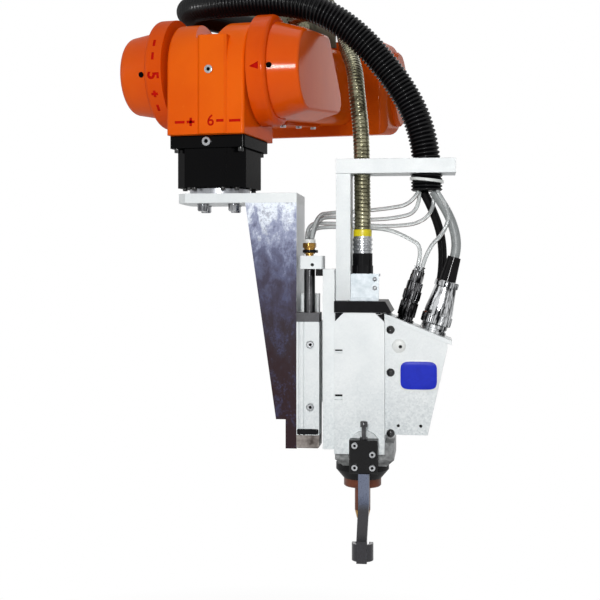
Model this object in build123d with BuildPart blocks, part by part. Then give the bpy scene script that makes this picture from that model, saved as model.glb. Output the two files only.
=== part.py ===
"""Robot forearm, wrist and stud welding head, built as separate pieces.

All lengths are in millimetres. The origin is the middle of the elbow flange, +Z is up,
+X points from the flange into the arm, and the forearm runs forward towards -Y.
"""

import os
from math import cos, radians, sin, tan

from build123d import *

os.makedirs("parts", exist_ok=True)

# Layout of the arm: elbow axis to wrist axis, rise of the forearm, and the turn of the tool
REACH = 640.0
RISE_ANGLE = 6.0
ARM_OFFSET = 165.0
TOOL_TURN = 8.5

# Clearances
FIT_GAP = 0.1
FACE_GAP = 1.0

# Elbow flange
FLANGE_RADIUS = 112.0
FLANGE_THICK = 18.0
FLANGE_BORE_RADIUS = 40.0
FLANGE_BOLT_CIRCLE_RADIUS = 92.0
FLANGE_BOLT_COUNT = 8
FLANGE_BOLT_RADIUS = 5.5

# Elbow housing
ELBOW_FORWARD = 114.0
ELBOW_FRONT = REACH - ELBOW_FORWARD
ELBOW_HALF_HEIGHT = 90.0
ELBOW_HALF_WIDTH = 150.0
ELBOW_EDGE = 16.0
ELBOW_LID_RADIUS = 74.0
ELBOW_LID_THICK = 10.0
ELBOW_LID_EDGE = 4.0

# Forearm casting
CROTCH = 125.0
CASTING_REAR_HALF_WIDTH = 85.0
CASTING_HALF_HEIGHT = 70.0
CASTING_ROUND = 24.0
COVER_NEAR_SHARE = 0.1125
COVER_FAR_SHARE = 0.686
COVER_NEAR = CROTCH + (ELBOW_FRONT - CROTCH) * COVER_NEAR_SHARE
COVER_FAR = CROTCH + (ELBOW_FRONT - CROTCH) * COVER_FAR_SHARE
COVER_HALF_WIDTH = 52.0
COVER_THICK = 5.0
COVER_CORNER = 10.0

# Fork rings and the covers outside them
RING_INNER = 62.0
RING_WIDTH = 28.0
RING_OUTER = RING_INNER + RING_WIDTH
RIGHT_RING_INNER = 66.5
RIGHT_RING_OUTER = RIGHT_RING_INNER + RING_WIDTH
RING_RADIUS = 81.5
RING_ROUND = 7.0
LEFT_COVER_RADIUS = 66.0
LEFT_COVER_END_RADIUS = 57.0
LEFT_COVER_ROUND = 12.0
RIGHT_COVER_RADIUS = 71.0
RIGHT_COVER_END_RADIUS = 59.0
RIGHT_COVER_ROUND = 5.0
LEFT_COVER_THICK = 50.0
RIGHT_COVER_THICK = 43.5
SIDE_COVER_TOP_REAR = 134.0
SIDE_COVER_BOTTOM_REAR = 228.0
SIDE_COVER_CORNER = 22.0

# Wrist housing
HOUSING_LEFT = -56.5
HOUSING_RIGHT = 61.5
HOUSING_RADIUS = 72.0
HOUSING_EDGE = 4.0
SADDLE_FLOOR = 43.0
SADDLE_LEFT = -25.0
SADDLE_FLOOR_LEFT = -16.0
SADDLE_FLOOR_RIGHT = 14.0
SADDLE_RIGHT = 28.0
SKIRT_BOTTOM = -99.0
PANEL_LEFT = -8.0
PANEL_RIGHT = 36.0
PANEL_PROUD = 4.0
PANEL_EDGE = 3.5
BOSS_RADIUS = 45.0

# Gearbox under the wrist housing
BLOCK_HALF_WIDTH = 57.5
BLOCK_HALF_DEPTH = 58.0
BLOCK_BOTTOM = -117.0
BLOCK_CORNER = 4.0
GEARBOX_HALF = 53.0
GEARBOX_CHAMFER = 17.0
GEARBOX_BOTTOM = -174.0
GEARBOX_RIB_LEFT = 26.0
GEARBOX_RIB_RIGHT = 29.0
GEARBOX_RIB_PROUD = 1.5
HUB_RADIUS = 30.0
HUB_TOP = -152.0

# Output flange and tool plate
DISC_RADIUS = 45.0
DISC_BOTTOM = -183.0
PLATE_LEFT = -54.0
PLATE_HALF_DEPTH = 50.0
PLATE_BOTTOM = -197.0
PLATE_CORNER = 12.0

# Hanger plate and gussets
HANGER_LEFT = 106.0
HANGER_RIGHT = 122.0
HANGER_BOTTOM = -552.0
GUSSET_THICK = 12.0
GUSSET_TOP_LEFT = 47.0
GUSSET_BOTTOM_LEFT = 92.0
GUSSET_BOTTOM = -510.0

# Lifting cylinder and its stop
CYLINDER_RIGHT = 155.0
CYLINDER_FRONT = -52.0
CYLINDER_REAR = -14.0
CYLINDER_TOP = -369.0
CYLINDER_BOTTOM = -532.0
CYLINDER_HEAD_TOP = -356.0
GROOVE_XS = (126.5, 133.0)
GROOVE_WIDTH = 2.4
GROOVE_DEPTH = 3.0
CYLINDER_SCREW_X = 142.0
CYLINDER_SCREW_ZS = (-402.0, -492.0)
CYLINDER_SCREW_RADIUS = 5.8
CYLINDER_SCREW_DEPTH = 4.0
STOP_HEIGHT = 19.0
STOP_BOTTOM = CYLINDER_BOTTOM - STOP_HEIGHT
STOP_EDGE = 2.0

# Piston rod, its block and its link
ROD_X = 139.0
ROD_Y = -33.0
ROD_RADIUS = 8.0
ROD_BOTTOM = -400.0
ROD_BORE_BOTTOM = -480.0
ROD_BLOCK_LEFT = 127.0
ROD_BLOCK_RIGHT = 160.0
ROD_BLOCK_TOP = -274.0
ROD_BLOCK_BOTTOM = -293.0
ROD_BLOCK_EDGE = 1.5
LINK_LEFT = 150.0
LINK_BOTTOM = -303.0
FITTING_RADIUS = 8.0
FITTING_TOP = -262.0
FITTING_NECK_RADIUS = 6.0
FITTING_NECK = 3.0
COLLAR_RADIUS = 8.6
COLLAR_TOP = -250.0

# Guide rail and carriage
RAIL_RIGHT = 148.0
RAIL_FRONT = 8.0
RAIL_REAR = 30.0
RAIL_TOP = -330.0
RAIL_BOTTOM = -551.0
CARRIAGE_LEFT = 130.0
CARRIAGE_FRONT = -2.0
CARRIAGE_REAR = 40.0
CARRIAGE_TOP = -370.0
CARRIAGE_BOTTOM = -490.0
SLIDE_GAP = 0.5

# Carriage plate
SLIDE_LEFT = 160.0
SLIDE_RIGHT = 177.0
SLIDE_HALF_DEPTH = 50.0
SLIDE_TOP = -293.0
SLIDE_BOTTOM = -552.0

# Post and arm that carry the lines
POST_RIGHT = 198.0
POST_HALF_DEPTH = 26.0
ARM_TOP = -133.0
ARM_BOTTOM = -154.0
ARM_RIGHT = 350.0
ARM_HALF_DEPTH = 30.0
LINE_GAP = 2.0

# Welding head: top plate, housing and front cover
HEAD_X = 214.0
TOP_PLATE_TOP = -339.0
TOP_PLATE_BOTTOM = -355.0
TOP_PLATE_RIGHT = 259.0
TOP_PLATE_FRONT = -60.0
TOP_PLATE_REAR = 50.0
TOP_PLATE_SLANT = 9.0
HEAD_RIGHT = 249.0
HEAD_FRONT = -50.0
HEAD_REAR = 50.0
HEAD_BOTTOM = -557.0
COVER_FRONT = -58.0
COVER_CHAMFER = 14.0
COVER_SLOT_WIDTH = 12.0
COVER_SLOTS = ((-408.0, 5.0), (-472.0, 8.0))

# Connector box
BOX_FRONT = -46.0
BOX_REAR = 34.0
BOX_TOP_LEFT = -363.0
BOX_TOP_RIGHT = -399.0
BOX_SHOULDER = 338.0
BOX_SHOULDER_LOW = -405.0
BOX_FOOT = 310.0
BOX_BOTTOM = -530.0
BOX_LID_THICK = 6.0
BOX_LID_OVERHANG = 6.0

# Connectors on the slanted lid
CONNECTOR_LEAN = 16.0
CONNECTOR_ROOT = 12.0
SMALL_X = 276.0
SMALL_Y = -14.0
SMALL_RADIUS = 12.0
SMALL_LENGTH = 60.0
SMALL_NUT_RADIUS = 13.0
SMALL_NUT_LENGTH = 40.0
SMALL_CAP_RADIUS = 9.5
SMALL_CAP_LENGTH = 20.0
LARGE_X = 317.0
LARGE_Y = -6.0
LARGE_RADIUS = 22.0
LARGE_LENGTH = 30.0
LARGE_BASE_RADIUS = 19.0
LARGE_BASE_LENGTH = 12.0
LARGE_NECK_RADIUS = 16.0
LARGE_NECK_LENGTH = 38.0
LARGE_RING_RADIUS = 17.5
LARGE_RING_LENGTH = 9.0
BOOT_RADIUS = 12.0
BOOT_END_RADIUS = 9.5
BOOT_LENGTH = 36.0

# Metal hose, its gland and bracket
HOSE_RADIUS = 12.2
FERRULE_RADIUS = 13.6
FERRULE_TOP = -245.0
FERRULE_BOTTOM = -270.0
GLAND_RADIUS = 14.6
GLAND_BOTTOM = -300.0
GLAND_HEX_RADIUS = 15.5
GLAND_HEX_LENGTH = 12.0
BRACKET_LEFT = 198.0
BRACKET_RIGHT = 239.0
BRACKET_SHEET = 4.0
BRACKET_FRONT = -20.0
BRACKET_REAR = 22.0
BRACKET_LIP = 12.0

# Black conduit and its end collar
CONDUIT_RADIUS = 21.0
CONDUIT_X = 308.0
COLLAR_END_RADIUS = 23.0
COLLAR_END_BOTTOM = -179.0

# Upright carrier for the conduit and the metal hose
CARRIER_TO_ELBOW = 96.0
CARRIER_BACK = ELBOW_FRONT - CARRIER_TO_ELBOW
CARRIER_THICK = 8.0
CARRIER_LEFT = -105.0
CARRIER_RIGHT = 76.0
CARRIER_HEIGHT = 96.0
CARRIER_CORNER = 18.0
CARRIER_FOOT = 36.0
LINE_LEAD = 130.0
CONDUIT_END_X = -68.0
HOSE_END_X = 22.0
CONDUIT_SOCKET_WALL = 7.0
CONDUIT_SOCKET_LENGTH = 26.0
HOSE_SOCKET_WALL = 6.0
HOSE_SOCKET_LENGTH = 22.0
SOCKET_CLEARANCE = 9.0
LINE_HEIGHT = CASTING_HALF_HEIGHT + CONDUIT_RADIUS + CONDUIT_SOCKET_WALL + SOCKET_CLEARANCE

# Nose, chuck and support foot
NOSE_LEFT = 177.0
NOSE_RIGHT = 262.0
NOSE_EAR = 15.0
NOSE_HALF_DEPTH = 44.0
NOSE_HEIGHT = 21.0
NOSE_BOTTOM = HEAD_BOTTOM - NOSE_HEIGHT
NOSE_CHAMFER = 11.0
CONE_RADIUS = 39.0
CONE_STRAIGHT = 9.0
CONE_END_RADIUS = 28.0
CONE_HEIGHT = 22.0
CONE_BOTTOM = NOSE_BOTTOM - CONE_HEIGHT
INSULATOR_RADIUS = 27.5
INSULATOR_THICK = 12.0
INSULATOR_BOTTOM = CONE_BOTTOM - INSULATOR_THICK
INSULATOR_EDGE = 1.5
CHUCK_RADIUS = 11.5
CHUCK_LENGTH = 36.0
CHUCK_BOTTOM = INSULATOR_BOTTOM - CHUCK_LENGTH
TIP_RADIUS = 11.5
TIP_END_RADIUS = 8.5
TIP_LENGTH = 12.0
TIP_BOTTOM = CHUCK_BOTTOM - TIP_LENGTH
TIP_BORE_RADIUS = 4.0
FOOT_X = 221.0
FOOT_MOUNT_RADIUS = 21.0
FOOT_MOUNT_FRONT = -70.0
CLAMP_HALF_WIDTH = 20.0
CLAMP_RISE = 25.0
CLAMP_TOP = HEAD_BOTTOM + CLAMP_RISE
CLAMP_HEIGHT = 47.0
CLAMP_BOTTOM = CLAMP_TOP - CLAMP_HEIGHT
FOOT_MOUNT_DROP = 11.0
FOOT_MOUNT_Z = CLAMP_TOP - FOOT_MOUNT_DROP
CLAMP_FRONT = -92.0
CLAMP_EDGE = 2.0
BAR_HALF_WIDTH = 7.6
BAR_BACK = -76.0
BAR_THICK = 12.0
BAR_TOP_GAP = 8.0
BAR_TOP = CLAMP_TOP - BAR_TOP_GAP
BAR_DROP = 43.0
BAR_BEND = CLAMP_BOTTOM - BAR_DROP
BAR_SLANT_HEIGHT = 68.0
BAR_LOW = BAR_BEND - BAR_SLANT_HEIGHT
BAR_LOW_BACK = -13.0
CLAW_OUTER_RADIUS = 16.0
CLAW_INNER_RADIUS = 11.0
CLAW_GAP = 7.0
CLAW_HEIGHT = 25.0
CLAW_TOP = BAR_LOW - CLAW_GAP
CLAW_BOTTOM = CLAW_TOP - CLAW_HEIGHT
CLAW_OPEN = 6.0

# Lines: outer radii, and routes as points on the tool's own axes
AIR_RADIUS = 3.0
GREY_RADIUS = 7.0
BLACK_RADIUS = 6.5
BEND_SHARE = 0.45

CONDUIT_ROUTE = (
    (274.0, 42.0, -30.0),
    (192.0, 28.0, 70.0),
    (100.0, 18.0, 112.0),
    (-116.0, 72.0, 118.0),
)
CONDUIT_RISE = -110.0
HOSE_ROUTE = (
    (203.0, 33.0, -35.0),
    (194.0, 58.0, 10.0),
    (172.0, 95.0, 50.0),
    (158.0, 130.0, 95.0),
    (80.0, 200.0, 132.0),
)
HOSE_RISE = -110.0
FIRST_AIR_ROUTE = (
    (297.0, -10.0, COLLAR_END_BOTTOM),
    (286.0, -3.0, -198.0),
    (252.0, 22.0, -203.0),
    (206.0, 41.0, -206.0),
    (165.0, 35.0, -210.0),
    (150.0, 0.0, -212.0),
    (143.5, -33.0, -222.0),
    (142.3, -36.3, COLLAR_TOP),
)
SECOND_AIR_ROUTE = (
    (297.0, 6.0, COLLAR_END_BOTTOM),
    (298.0, 9.0, -209.0),
    (258.0, 30.0, -220.0),
    (206.0, 51.0, -226.0),
    (162.0, 43.0, -222.0),
    (141.0, -4.0, -226.0),
    (142.3, -29.7, COLLAR_TOP),
)
THIRD_AIR_ROUTE = (
    (318.0, 14.0, COLLAR_END_BOTTOM),
    (320.0, 11.0, -203.0),
    (299.0, 20.0, -226.0),
    (252.0, 43.0, -235.0),
    (206.0, 59.0, -233.0),
    (160.0, 51.0, -230.0),
    (129.5, 6.0, -227.0),
    (128.5, -25.0, -231.0),
    (135.7, -36.3, COLLAR_TOP),
)
FOURTH_AIR_ROUTE = (
    (135.7, -29.7, COLLAR_TOP),
    (134.5, -18.0, -237.5),
    (138.0, 8.0, -236.0),
    (165.0, 36.0, -237.0),
    (206.0, 42.0, -240.0),
    (250.0, 30.0, -239.0),
    (281.0, 7.0, -247.0),
)
SIGNAL_ROUTE = (
    (323.0, -12.0, COLLAR_END_BOTTOM),
    (343.0, -15.0, -208.0),
    (334.0, -18.0, -240.0),
)
GREY_START = (318.0, 3.0, COLLAR_END_BOTTOM)
GREY_LEAD = 42.0
BLACK_ROUTE = (
    (303.0, 15.5, COLLAR_END_BOTTOM),
    (321.0, 26.0, -212.0),
    (333.0, 26.0, -262.0),
)
BLACK_LEAD = 45.0
HOSE_LEAD = 30.0
HOSE_SPACING = 3.4
BLACK_GLAND_X = 306.0
BLACK_GLAND_Y = 25.0
BLACK_GLAND_RADIUS = 8.0
BLACK_GLAND_LENGTH = 14.0

# Directions
arm_cos = cos(radians(RISE_ANGLE))
arm_sin = sin(radians(RISE_ANGLE))
tool_cos = cos(radians(TOOL_TURN))
tool_sin = sin(radians(TOOL_TURN))
BACKWARD = Vector(0, arm_cos, arm_sin)
ACROSS = Vector(1, 0, 0)
ARM_UP = Vector(0, -arm_sin, arm_cos)
TOOL_RIGHT = Vector(tool_cos, tool_sin, 0)
TOOL_BACK = Vector(-tool_sin, tool_cos, 0)
UP = Vector(0, 0, 1)
LEANING = TOOL_RIGHT * sin(radians(CONNECTOR_LEAN)) + UP * cos(radians(CONNECTOR_LEAN))
LEAN_ACROSS = TOOL_RIGHT * cos(radians(CONNECTOR_LEAN)) - UP * sin(radians(CONNECTOR_LEAN))
WRIST = ACROSS * ARM_OFFSET - BACKWARD * REACH


def arm_point(across, back, up):
    """Point on the forearm's own axes, counted from the wrist."""
    return WRIST + ACROSS * across + BACKWARD * back + ARM_UP * up


def wrist_point(across, back, up):
    """Point on upright axes, counted from the wrist."""
    return WRIST + ACROSS * across + Vector(0, 1, 0) * back + UP * up


def tool_point(right, back, up):
    """Point on the tool's own axes, counted from the wrist."""
    return WRIST + TOOL_RIGHT * right + TOOL_BACK * back + UP * up


def arm_section(back):
    """Plane across the forearm, facing the wrist."""
    return Plane(arm_point(0, back, 0), x_dir=ACROSS, z_dir=-BACKWARD)


def arm_side(across):
    """Plane along the forearm, facing right, with its x pointing back."""
    return Plane(arm_point(across, 0, 0), x_dir=BACKWARD, z_dir=ACROSS)


def level(up):
    """Level plane on the wrist's axes, facing up."""
    return Plane(wrist_point(0, 0, up), x_dir=ACROSS, z_dir=UP)


def front(back):
    """Upright plane on the wrist's axes, facing the front."""
    return Plane(wrist_point(0, back, 0), x_dir=ACROSS, z_dir=(0, -1, 0))


def tool_level(up):
    """Level plane on the tool's axes, facing up."""
    return Plane(tool_point(0, 0, up), x_dir=TOOL_RIGHT, z_dir=UP)


def tool_front(back):
    """Upright plane on the tool's axes, facing the front."""
    return Plane(tool_point(0, back, 0), x_dir=TOOL_RIGHT, z_dir=-TOOL_BACK)


def tool_side(right):
    """Upright plane on the tool's axes, facing right."""
    return Plane(tool_point(right, 0, 0), x_dir=TOOL_BACK, z_dir=TOOL_RIGHT)


def bar(plane, left, right, low, high, depth, mode=Mode.ADD):
    """Straight bar: a rectangle on a plane, drawn out by a depth."""
    with BuildSketch(plane) as section:
        with Locations(((left + right) / 2, (low + high) / 2)):
            Rectangle(right - left, high - low)
    extrude(section.sketch, amount=depth, mode=mode)


def outline(plane, corners, depth, mode=Mode.ADD):
    """Straight-sided plate: a closed outline on a plane, drawn out by a depth."""
    with BuildSketch(plane) as section:
        with BuildLine():
            Polyline(*corners, close=True)
        make_face()
    extrude(section.sketch, amount=depth, mode=mode)


def rod(plane, radius, length, mode=Mode.ADD):
    """Round bar standing on a plane."""
    with BuildSketch(plane) as section:
        Circle(radius)
    extrude(section.sketch, amount=length, mode=mode)


def turned(plane, axis, corners):
    """Turned piece: an outline on a plane, swept once around an axis."""
    with BuildSketch(plane) as section:
        with BuildLine():
            Polyline(*corners, close=True)
        make_face()
    revolve(section.sketch, axis=axis)


def side_outline(across, radius):
    """Section of a side cover: a half circle in front and a slanted end behind."""
    with BuildSketch(arm_side(across)) as section:
        with BuildLine():
            ThreePointArc((0, -radius), (-radius, 0), (0, radius))
            Polyline(
                (0, radius),
                (SIDE_COVER_TOP_REAR, radius),
                (SIDE_COVER_BOTTOM_REAR, -radius),
                (0, -radius),
            )
        make_face()
        fillet(section.vertices().sort_by(Axis.X)[-2:], SIDE_COVER_CORNER)
    return section.sketch


def line_tube(points, radius):
    """Flexible line: a round section along straight runs with wide arcs between them."""
    arcs = []
    for before, here, after in zip(points, points[1:], points[2:]):
        half_turn = radians((here - before).get_angle(after - here)) / 2
        shorter = min((here - before).length, (after - here).length)
        arcs.append(BEND_SHARE * shorter / tan(half_turn))
    print("arc radii", [round(arc / radius / 2, 1) for arc in arcs], "diameters")
    with BuildLine() as path:
        FilletPolyline(*points, radius=arcs)
    with BuildSketch(Plane(path.line @ 0, z_dir=path.line % 0)) as section:
        Circle(radius)
    sweep(section.sketch, path=path.line)
    print("line length", round(sum(edge.length for edge in path.edges())))


def write(piece, name):
    """Name a finished piece and write its file."""
    piece.part.label = name
    export_step(piece.part, f"parts/{name}.step")


# Elbow flange: the face the whole arm is held by
with BuildPart() as elbow_flange:
    rod(Plane.YZ, FLANGE_RADIUS, FLANGE_THICK)
    rod(Plane.YZ, FLANGE_BORE_RADIUS, FLANGE_THICK, Mode.SUBTRACT)
    with BuildSketch(Plane.YZ):
        with PolarLocations(FLANGE_BOLT_CIRCLE_RADIUS, FLANGE_BOLT_COUNT):
            Circle(FLANGE_BOLT_RADIUS)
    extrude(amount=FLANGE_THICK, mode=Mode.SUBTRACT)
write(elbow_flange, "elbow_flange")

# Elbow housing: square towards the forearm, round behind the elbow axis
elbow_right = ARM_OFFSET + ELBOW_HALF_WIDTH
with BuildPart() as elbow_housing:
    with BuildSketch(arm_side(FLANGE_THICK - ARM_OFFSET)):
        with Locations((REACH, 0)):
            Circle(ELBOW_HALF_HEIGHT)
        with Locations(((ELBOW_FRONT + REACH) / 2, 0)):
            Rectangle(REACH - ELBOW_FRONT, ELBOW_HALF_HEIGHT * 2)
    extrude(amount=elbow_right - FLANGE_THICK)
    fillet(elbow_housing.faces().sort_by(Axis.X)[-1].edges(), ELBOW_EDGE)
    with BuildSketch(arm_side(ELBOW_HALF_WIDTH)):
        with Locations((REACH, 0)):
            Circle(ELBOW_LID_RADIUS)
    extrude(amount=ELBOW_LID_THICK)
    chamfer(elbow_housing.faces().sort_by(Axis.X)[-1].edges(), ELBOW_LID_EDGE)
write(elbow_housing, "elbow_housing")

# Forearm casting: widens a little towards the fork
with BuildPart() as forearm_casting:
    with BuildSketch(arm_section(ELBOW_FRONT)):
        RectangleRounded(CASTING_REAR_HALF_WIDTH * 2, CASTING_HALF_HEIGHT * 2, CASTING_ROUND)
    with BuildSketch(arm_section(CROTCH)):
        with Locations(((RIGHT_RING_OUTER - RING_OUTER) / 2, 0)):
            RectangleRounded(RING_OUTER + RIGHT_RING_OUTER, CASTING_HALF_HEIGHT * 2, CASTING_ROUND)
    loft()
write(forearm_casting, "forearm_casting")

# Cover under the forearm
with BuildPart() as forearm_cover:
    cover_plane = Plane(
        arm_point(0, (COVER_NEAR + COVER_FAR) / 2, -CASTING_HALF_HEIGHT), x_dir=ACROSS, z_dir=-ARM_UP
    )
    with BuildSketch(cover_plane):
        RectangleRounded(COVER_HALF_WIDTH * 2, COVER_FAR - COVER_NEAR, COVER_CORNER)
    extrude(amount=COVER_THICK)
write(forearm_cover, "forearm_cover")

# Left prong of the fork, a ring on the wrist axis with a web to the casting
with BuildPart() as left_fork:
    with BuildSketch(arm_side(-RING_OUTER)):
        Circle(RING_RADIUS)
        with Locations((CROTCH / 2, 0)):
            Rectangle(CROTCH, CASTING_HALF_HEIGHT * 2)
    extrude(amount=RING_WIDTH)
    fillet(left_fork.faces().sort_by(Axis.X)[0].edges().filter_by(GeomType.CIRCLE), RING_ROUND)
    rod(arm_side(-RING_OUTER), BOSS_RADIUS + FIT_GAP, RING_WIDTH, Mode.SUBTRACT)
write(left_fork, "left_fork")

# Right prong
with BuildPart() as right_fork:
    with BuildSketch(arm_side(RIGHT_RING_INNER)):
        Circle(RING_RADIUS)
        with Locations((CROTCH / 2, 0)):
            Rectangle(CROTCH, CASTING_HALF_HEIGHT * 2)
    extrude(amount=RING_WIDTH)
    fillet(right_fork.faces().sort_by(Axis.X)[-1].edges().filter_by(GeomType.CIRCLE), RING_ROUND)
    rod(arm_side(RIGHT_RING_INNER), BOSS_RADIUS + FIT_GAP, RING_WIDTH, Mode.SUBTRACT)
write(right_fork, "right_fork")

# Side covers: round in front of the wrist axis, slanted behind it and drafted outwards
left_end = RING_OUTER + LEFT_COVER_THICK
right_end = RIGHT_RING_OUTER + RIGHT_COVER_THICK
with BuildPart() as left_cover:
    loft([side_outline(-RING_OUTER, LEFT_COVER_RADIUS), side_outline(-left_end, LEFT_COVER_END_RADIUS)])
    fillet(left_cover.faces().sort_by(Axis.X)[0].edges(), LEFT_COVER_ROUND)
write(left_cover, "left_cover")

with BuildPart() as right_cover:
    loft(
        [
            side_outline(RIGHT_RING_OUTER, RIGHT_COVER_RADIUS),
            side_outline(right_end, RIGHT_COVER_END_RADIUS),
        ]
    )
    fillet(right_cover.faces().sort_by(Axis.X)[-1].edges(), RIGHT_COVER_ROUND)
write(right_cover, "right_cover")

# Carrier plate that stands on the forearm, with a foot behind it
with BuildPart() as line_carrier:
    with BuildSketch(arm_section(CARRIER_BACK)):
        with Locations(((CARRIER_LEFT + CARRIER_RIGHT) / 2, CASTING_HALF_HEIGHT + CARRIER_HEIGHT / 2)):
            Rectangle(CARRIER_RIGHT - CARRIER_LEFT, CARRIER_HEIGHT)
    extrude(amount=-CARRIER_THICK)
    top_corner_edges = line_carrier.edges().filter_by(Axis(WRIST, BACKWARD)).sort_by(Axis.Z)[-2:]
    fillet(top_corner_edges, CARRIER_CORNER)
    foot_low = CASTING_HALF_HEIGHT + CARRIER_THICK
    bar(
        arm_section(CARRIER_BACK),
        -CASTING_REAR_HALF_WIDTH + CASTING_ROUND,
        CASTING_REAR_HALF_WIDTH - CASTING_ROUND,
        CASTING_HALF_HEIGHT,
        foot_low,
        -CARRIER_FOOT,
    )
    conduit_seat = Plane(
        arm_point(CONDUIT_END_X, CARRIER_BACK, LINE_HEIGHT), x_dir=ACROSS, z_dir=-BACKWARD
    )
    rod(conduit_seat, CONDUIT_RADIUS + FIT_GAP + CONDUIT_SOCKET_WALL, CONDUIT_SOCKET_LENGTH)
    rod(conduit_seat, CONDUIT_RADIUS + FIT_GAP, CONDUIT_SOCKET_LENGTH, Mode.SUBTRACT)
    hose_seat = Plane(
        arm_point(HOSE_END_X, CARRIER_BACK, LINE_HEIGHT), x_dir=ACROSS, z_dir=-BACKWARD
    )
    rod(hose_seat, HOSE_RADIUS + FIT_GAP + HOSE_SOCKET_WALL, HOSE_SOCKET_LENGTH)
    rod(hose_seat, HOSE_RADIUS + FIT_GAP, HOSE_SOCKET_LENGTH, Mode.SUBTRACT)
write(line_carrier, "line_carrier")

# Wrist housing: round above the bend axis and square below it, with a saddle on top,
# a panel in front and a bearing boss each side
left_boss_end = RING_OUTER - FACE_GAP
right_boss_end = RIGHT_RING_OUTER - FACE_GAP
panel_depth = HOUSING_RADIUS + PANEL_PROUD
with BuildPart() as wrist_housing:
    with BuildSketch(Plane(wrist_point(HOUSING_LEFT, 0, 0), x_dir=(0, 1, 0), z_dir=ACROSS)):
        Circle(HOUSING_RADIUS)
        with Locations((0, SKIRT_BOTTOM / 2)):
            Rectangle(HOUSING_RADIUS * 2, -SKIRT_BOTTOM)
    extrude(amount=HOUSING_RIGHT - HOUSING_LEFT)
    for side in (0, -1):
        side_edges = wrist_housing.faces().sort_by(Axis.X)[side].edges().sort_by(Axis.Z)
        fillet(side_edges[1:], HOUSING_EDGE)
    saddle_corners = (
        (SADDLE_LEFT, panel_depth),
        (SADDLE_FLOOR_LEFT, SADDLE_FLOOR),
        (SADDLE_FLOOR_RIGHT, SADDLE_FLOOR),
        (SADDLE_RIGHT, panel_depth),
    )
    outline(front(panel_depth), saddle_corners, panel_depth * 2, Mode.SUBTRACT)
    bar(front(0), PANEL_LEFT, PANEL_RIGHT, SKIRT_BOTTOM, SADDLE_FLOOR, panel_depth)
    chamfer(wrist_housing.edges().filter_by(Axis.Z).sort_by(Axis.Y)[:2], PANEL_EDGE)
    boss_plane = Plane(wrist_point(-left_boss_end, 0, 0), x_dir=BACKWARD, z_dir=ACROSS)
    rod(boss_plane, BOSS_RADIUS, left_boss_end + right_boss_end)
write(wrist_housing, "wrist_housing")

# Gearbox block under the skirt
with BuildPart() as gearbox_block:
    with BuildSketch(level(BLOCK_BOTTOM)):
        RectangleRounded(BLOCK_HALF_WIDTH * 2, BLOCK_HALF_DEPTH * 2, BLOCK_CORNER)
    extrude(amount=SKIRT_BOTTOM - BLOCK_BOTTOM)
write(gearbox_block, "gearbox_block")

# Gearbox body with cut corners, a slim rib in front and a seat for the output hub
with BuildPart() as gearbox_body:
    with BuildSketch(level(GEARBOX_BOTTOM)):
        Rectangle(GEARBOX_HALF * 2, GEARBOX_HALF * 2)
    extrude(amount=BLOCK_BOTTOM - GEARBOX_BOTTOM)
    chamfer(gearbox_body.edges().filter_by(Axis.Z), GEARBOX_CHAMFER)
    bar(
        front(0),
        GEARBOX_RIB_LEFT,
        GEARBOX_RIB_RIGHT,
        GEARBOX_BOTTOM,
        BLOCK_BOTTOM,
        GEARBOX_HALF + GEARBOX_RIB_PROUD,
    )
    hub_seat = HUB_TOP + FACE_GAP - GEARBOX_BOTTOM
    rod(level(GEARBOX_BOTTOM), HUB_RADIUS + FIT_GAP, hub_seat, Mode.SUBTRACT)
write(gearbox_body, "gearbox_body")

# Output flange with its hub
with BuildPart() as flange_disc:
    disc_top = GEARBOX_BOTTOM - FACE_GAP
    rod(tool_level(DISC_BOTTOM), DISC_RADIUS, disc_top - DISC_BOTTOM)
    rod(tool_level(DISC_BOTTOM), HUB_RADIUS, HUB_TOP - DISC_BOTTOM)
write(flange_disc, "flange_disc")

# Tool plate under the flange
with BuildPart() as tool_plate:
    bar(
        tool_level(PLATE_BOTTOM),
        PLATE_LEFT,
        HANGER_RIGHT,
        -PLATE_HALF_DEPTH,
        PLATE_HALF_DEPTH,
        DISC_BOTTOM - PLATE_BOTTOM,
    )
    corner_edges = tool_plate.edges().filter_by(Axis.Z).sort_by(Axis(WRIST, TOOL_RIGHT))[:2]
    chamfer(corner_edges, PLATE_CORNER)
write(tool_plate, "tool_plate")

# Hanger plate and its two gussets
with BuildPart() as hanger_plate:
    bar(
        tool_side(HANGER_LEFT),
        -PLATE_HALF_DEPTH,
        PLATE_HALF_DEPTH,
        HANGER_BOTTOM,
        PLATE_BOTTOM,
        HANGER_RIGHT - HANGER_LEFT,
    )
write(hanger_plate, "hanger_plate")

gusset_corners = (
    (GUSSET_TOP_LEFT, PLATE_BOTTOM),
    (HANGER_LEFT, PLATE_BOTTOM),
    (HANGER_LEFT, GUSSET_BOTTOM),
    (GUSSET_BOTTOM_LEFT, GUSSET_BOTTOM),
)
with BuildPart() as front_gusset:
    outline(tool_front(GUSSET_THICK - PLATE_HALF_DEPTH), gusset_corners, GUSSET_THICK)
write(front_gusset, "front_gusset")

with BuildPart() as rear_gusset:
    outline(tool_front(PLATE_HALF_DEPTH), gusset_corners, GUSSET_THICK)
write(rear_gusset, "rear_gusset")

# Guide rail on the hanger plate
with BuildPart() as guide_rail:
    bar(tool_side(HANGER_RIGHT), RAIL_FRONT, RAIL_REAR, RAIL_BOTTOM, RAIL_TOP, RAIL_RIGHT - HANGER_RIGHT)
write(guide_rail, "guide_rail")

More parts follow.
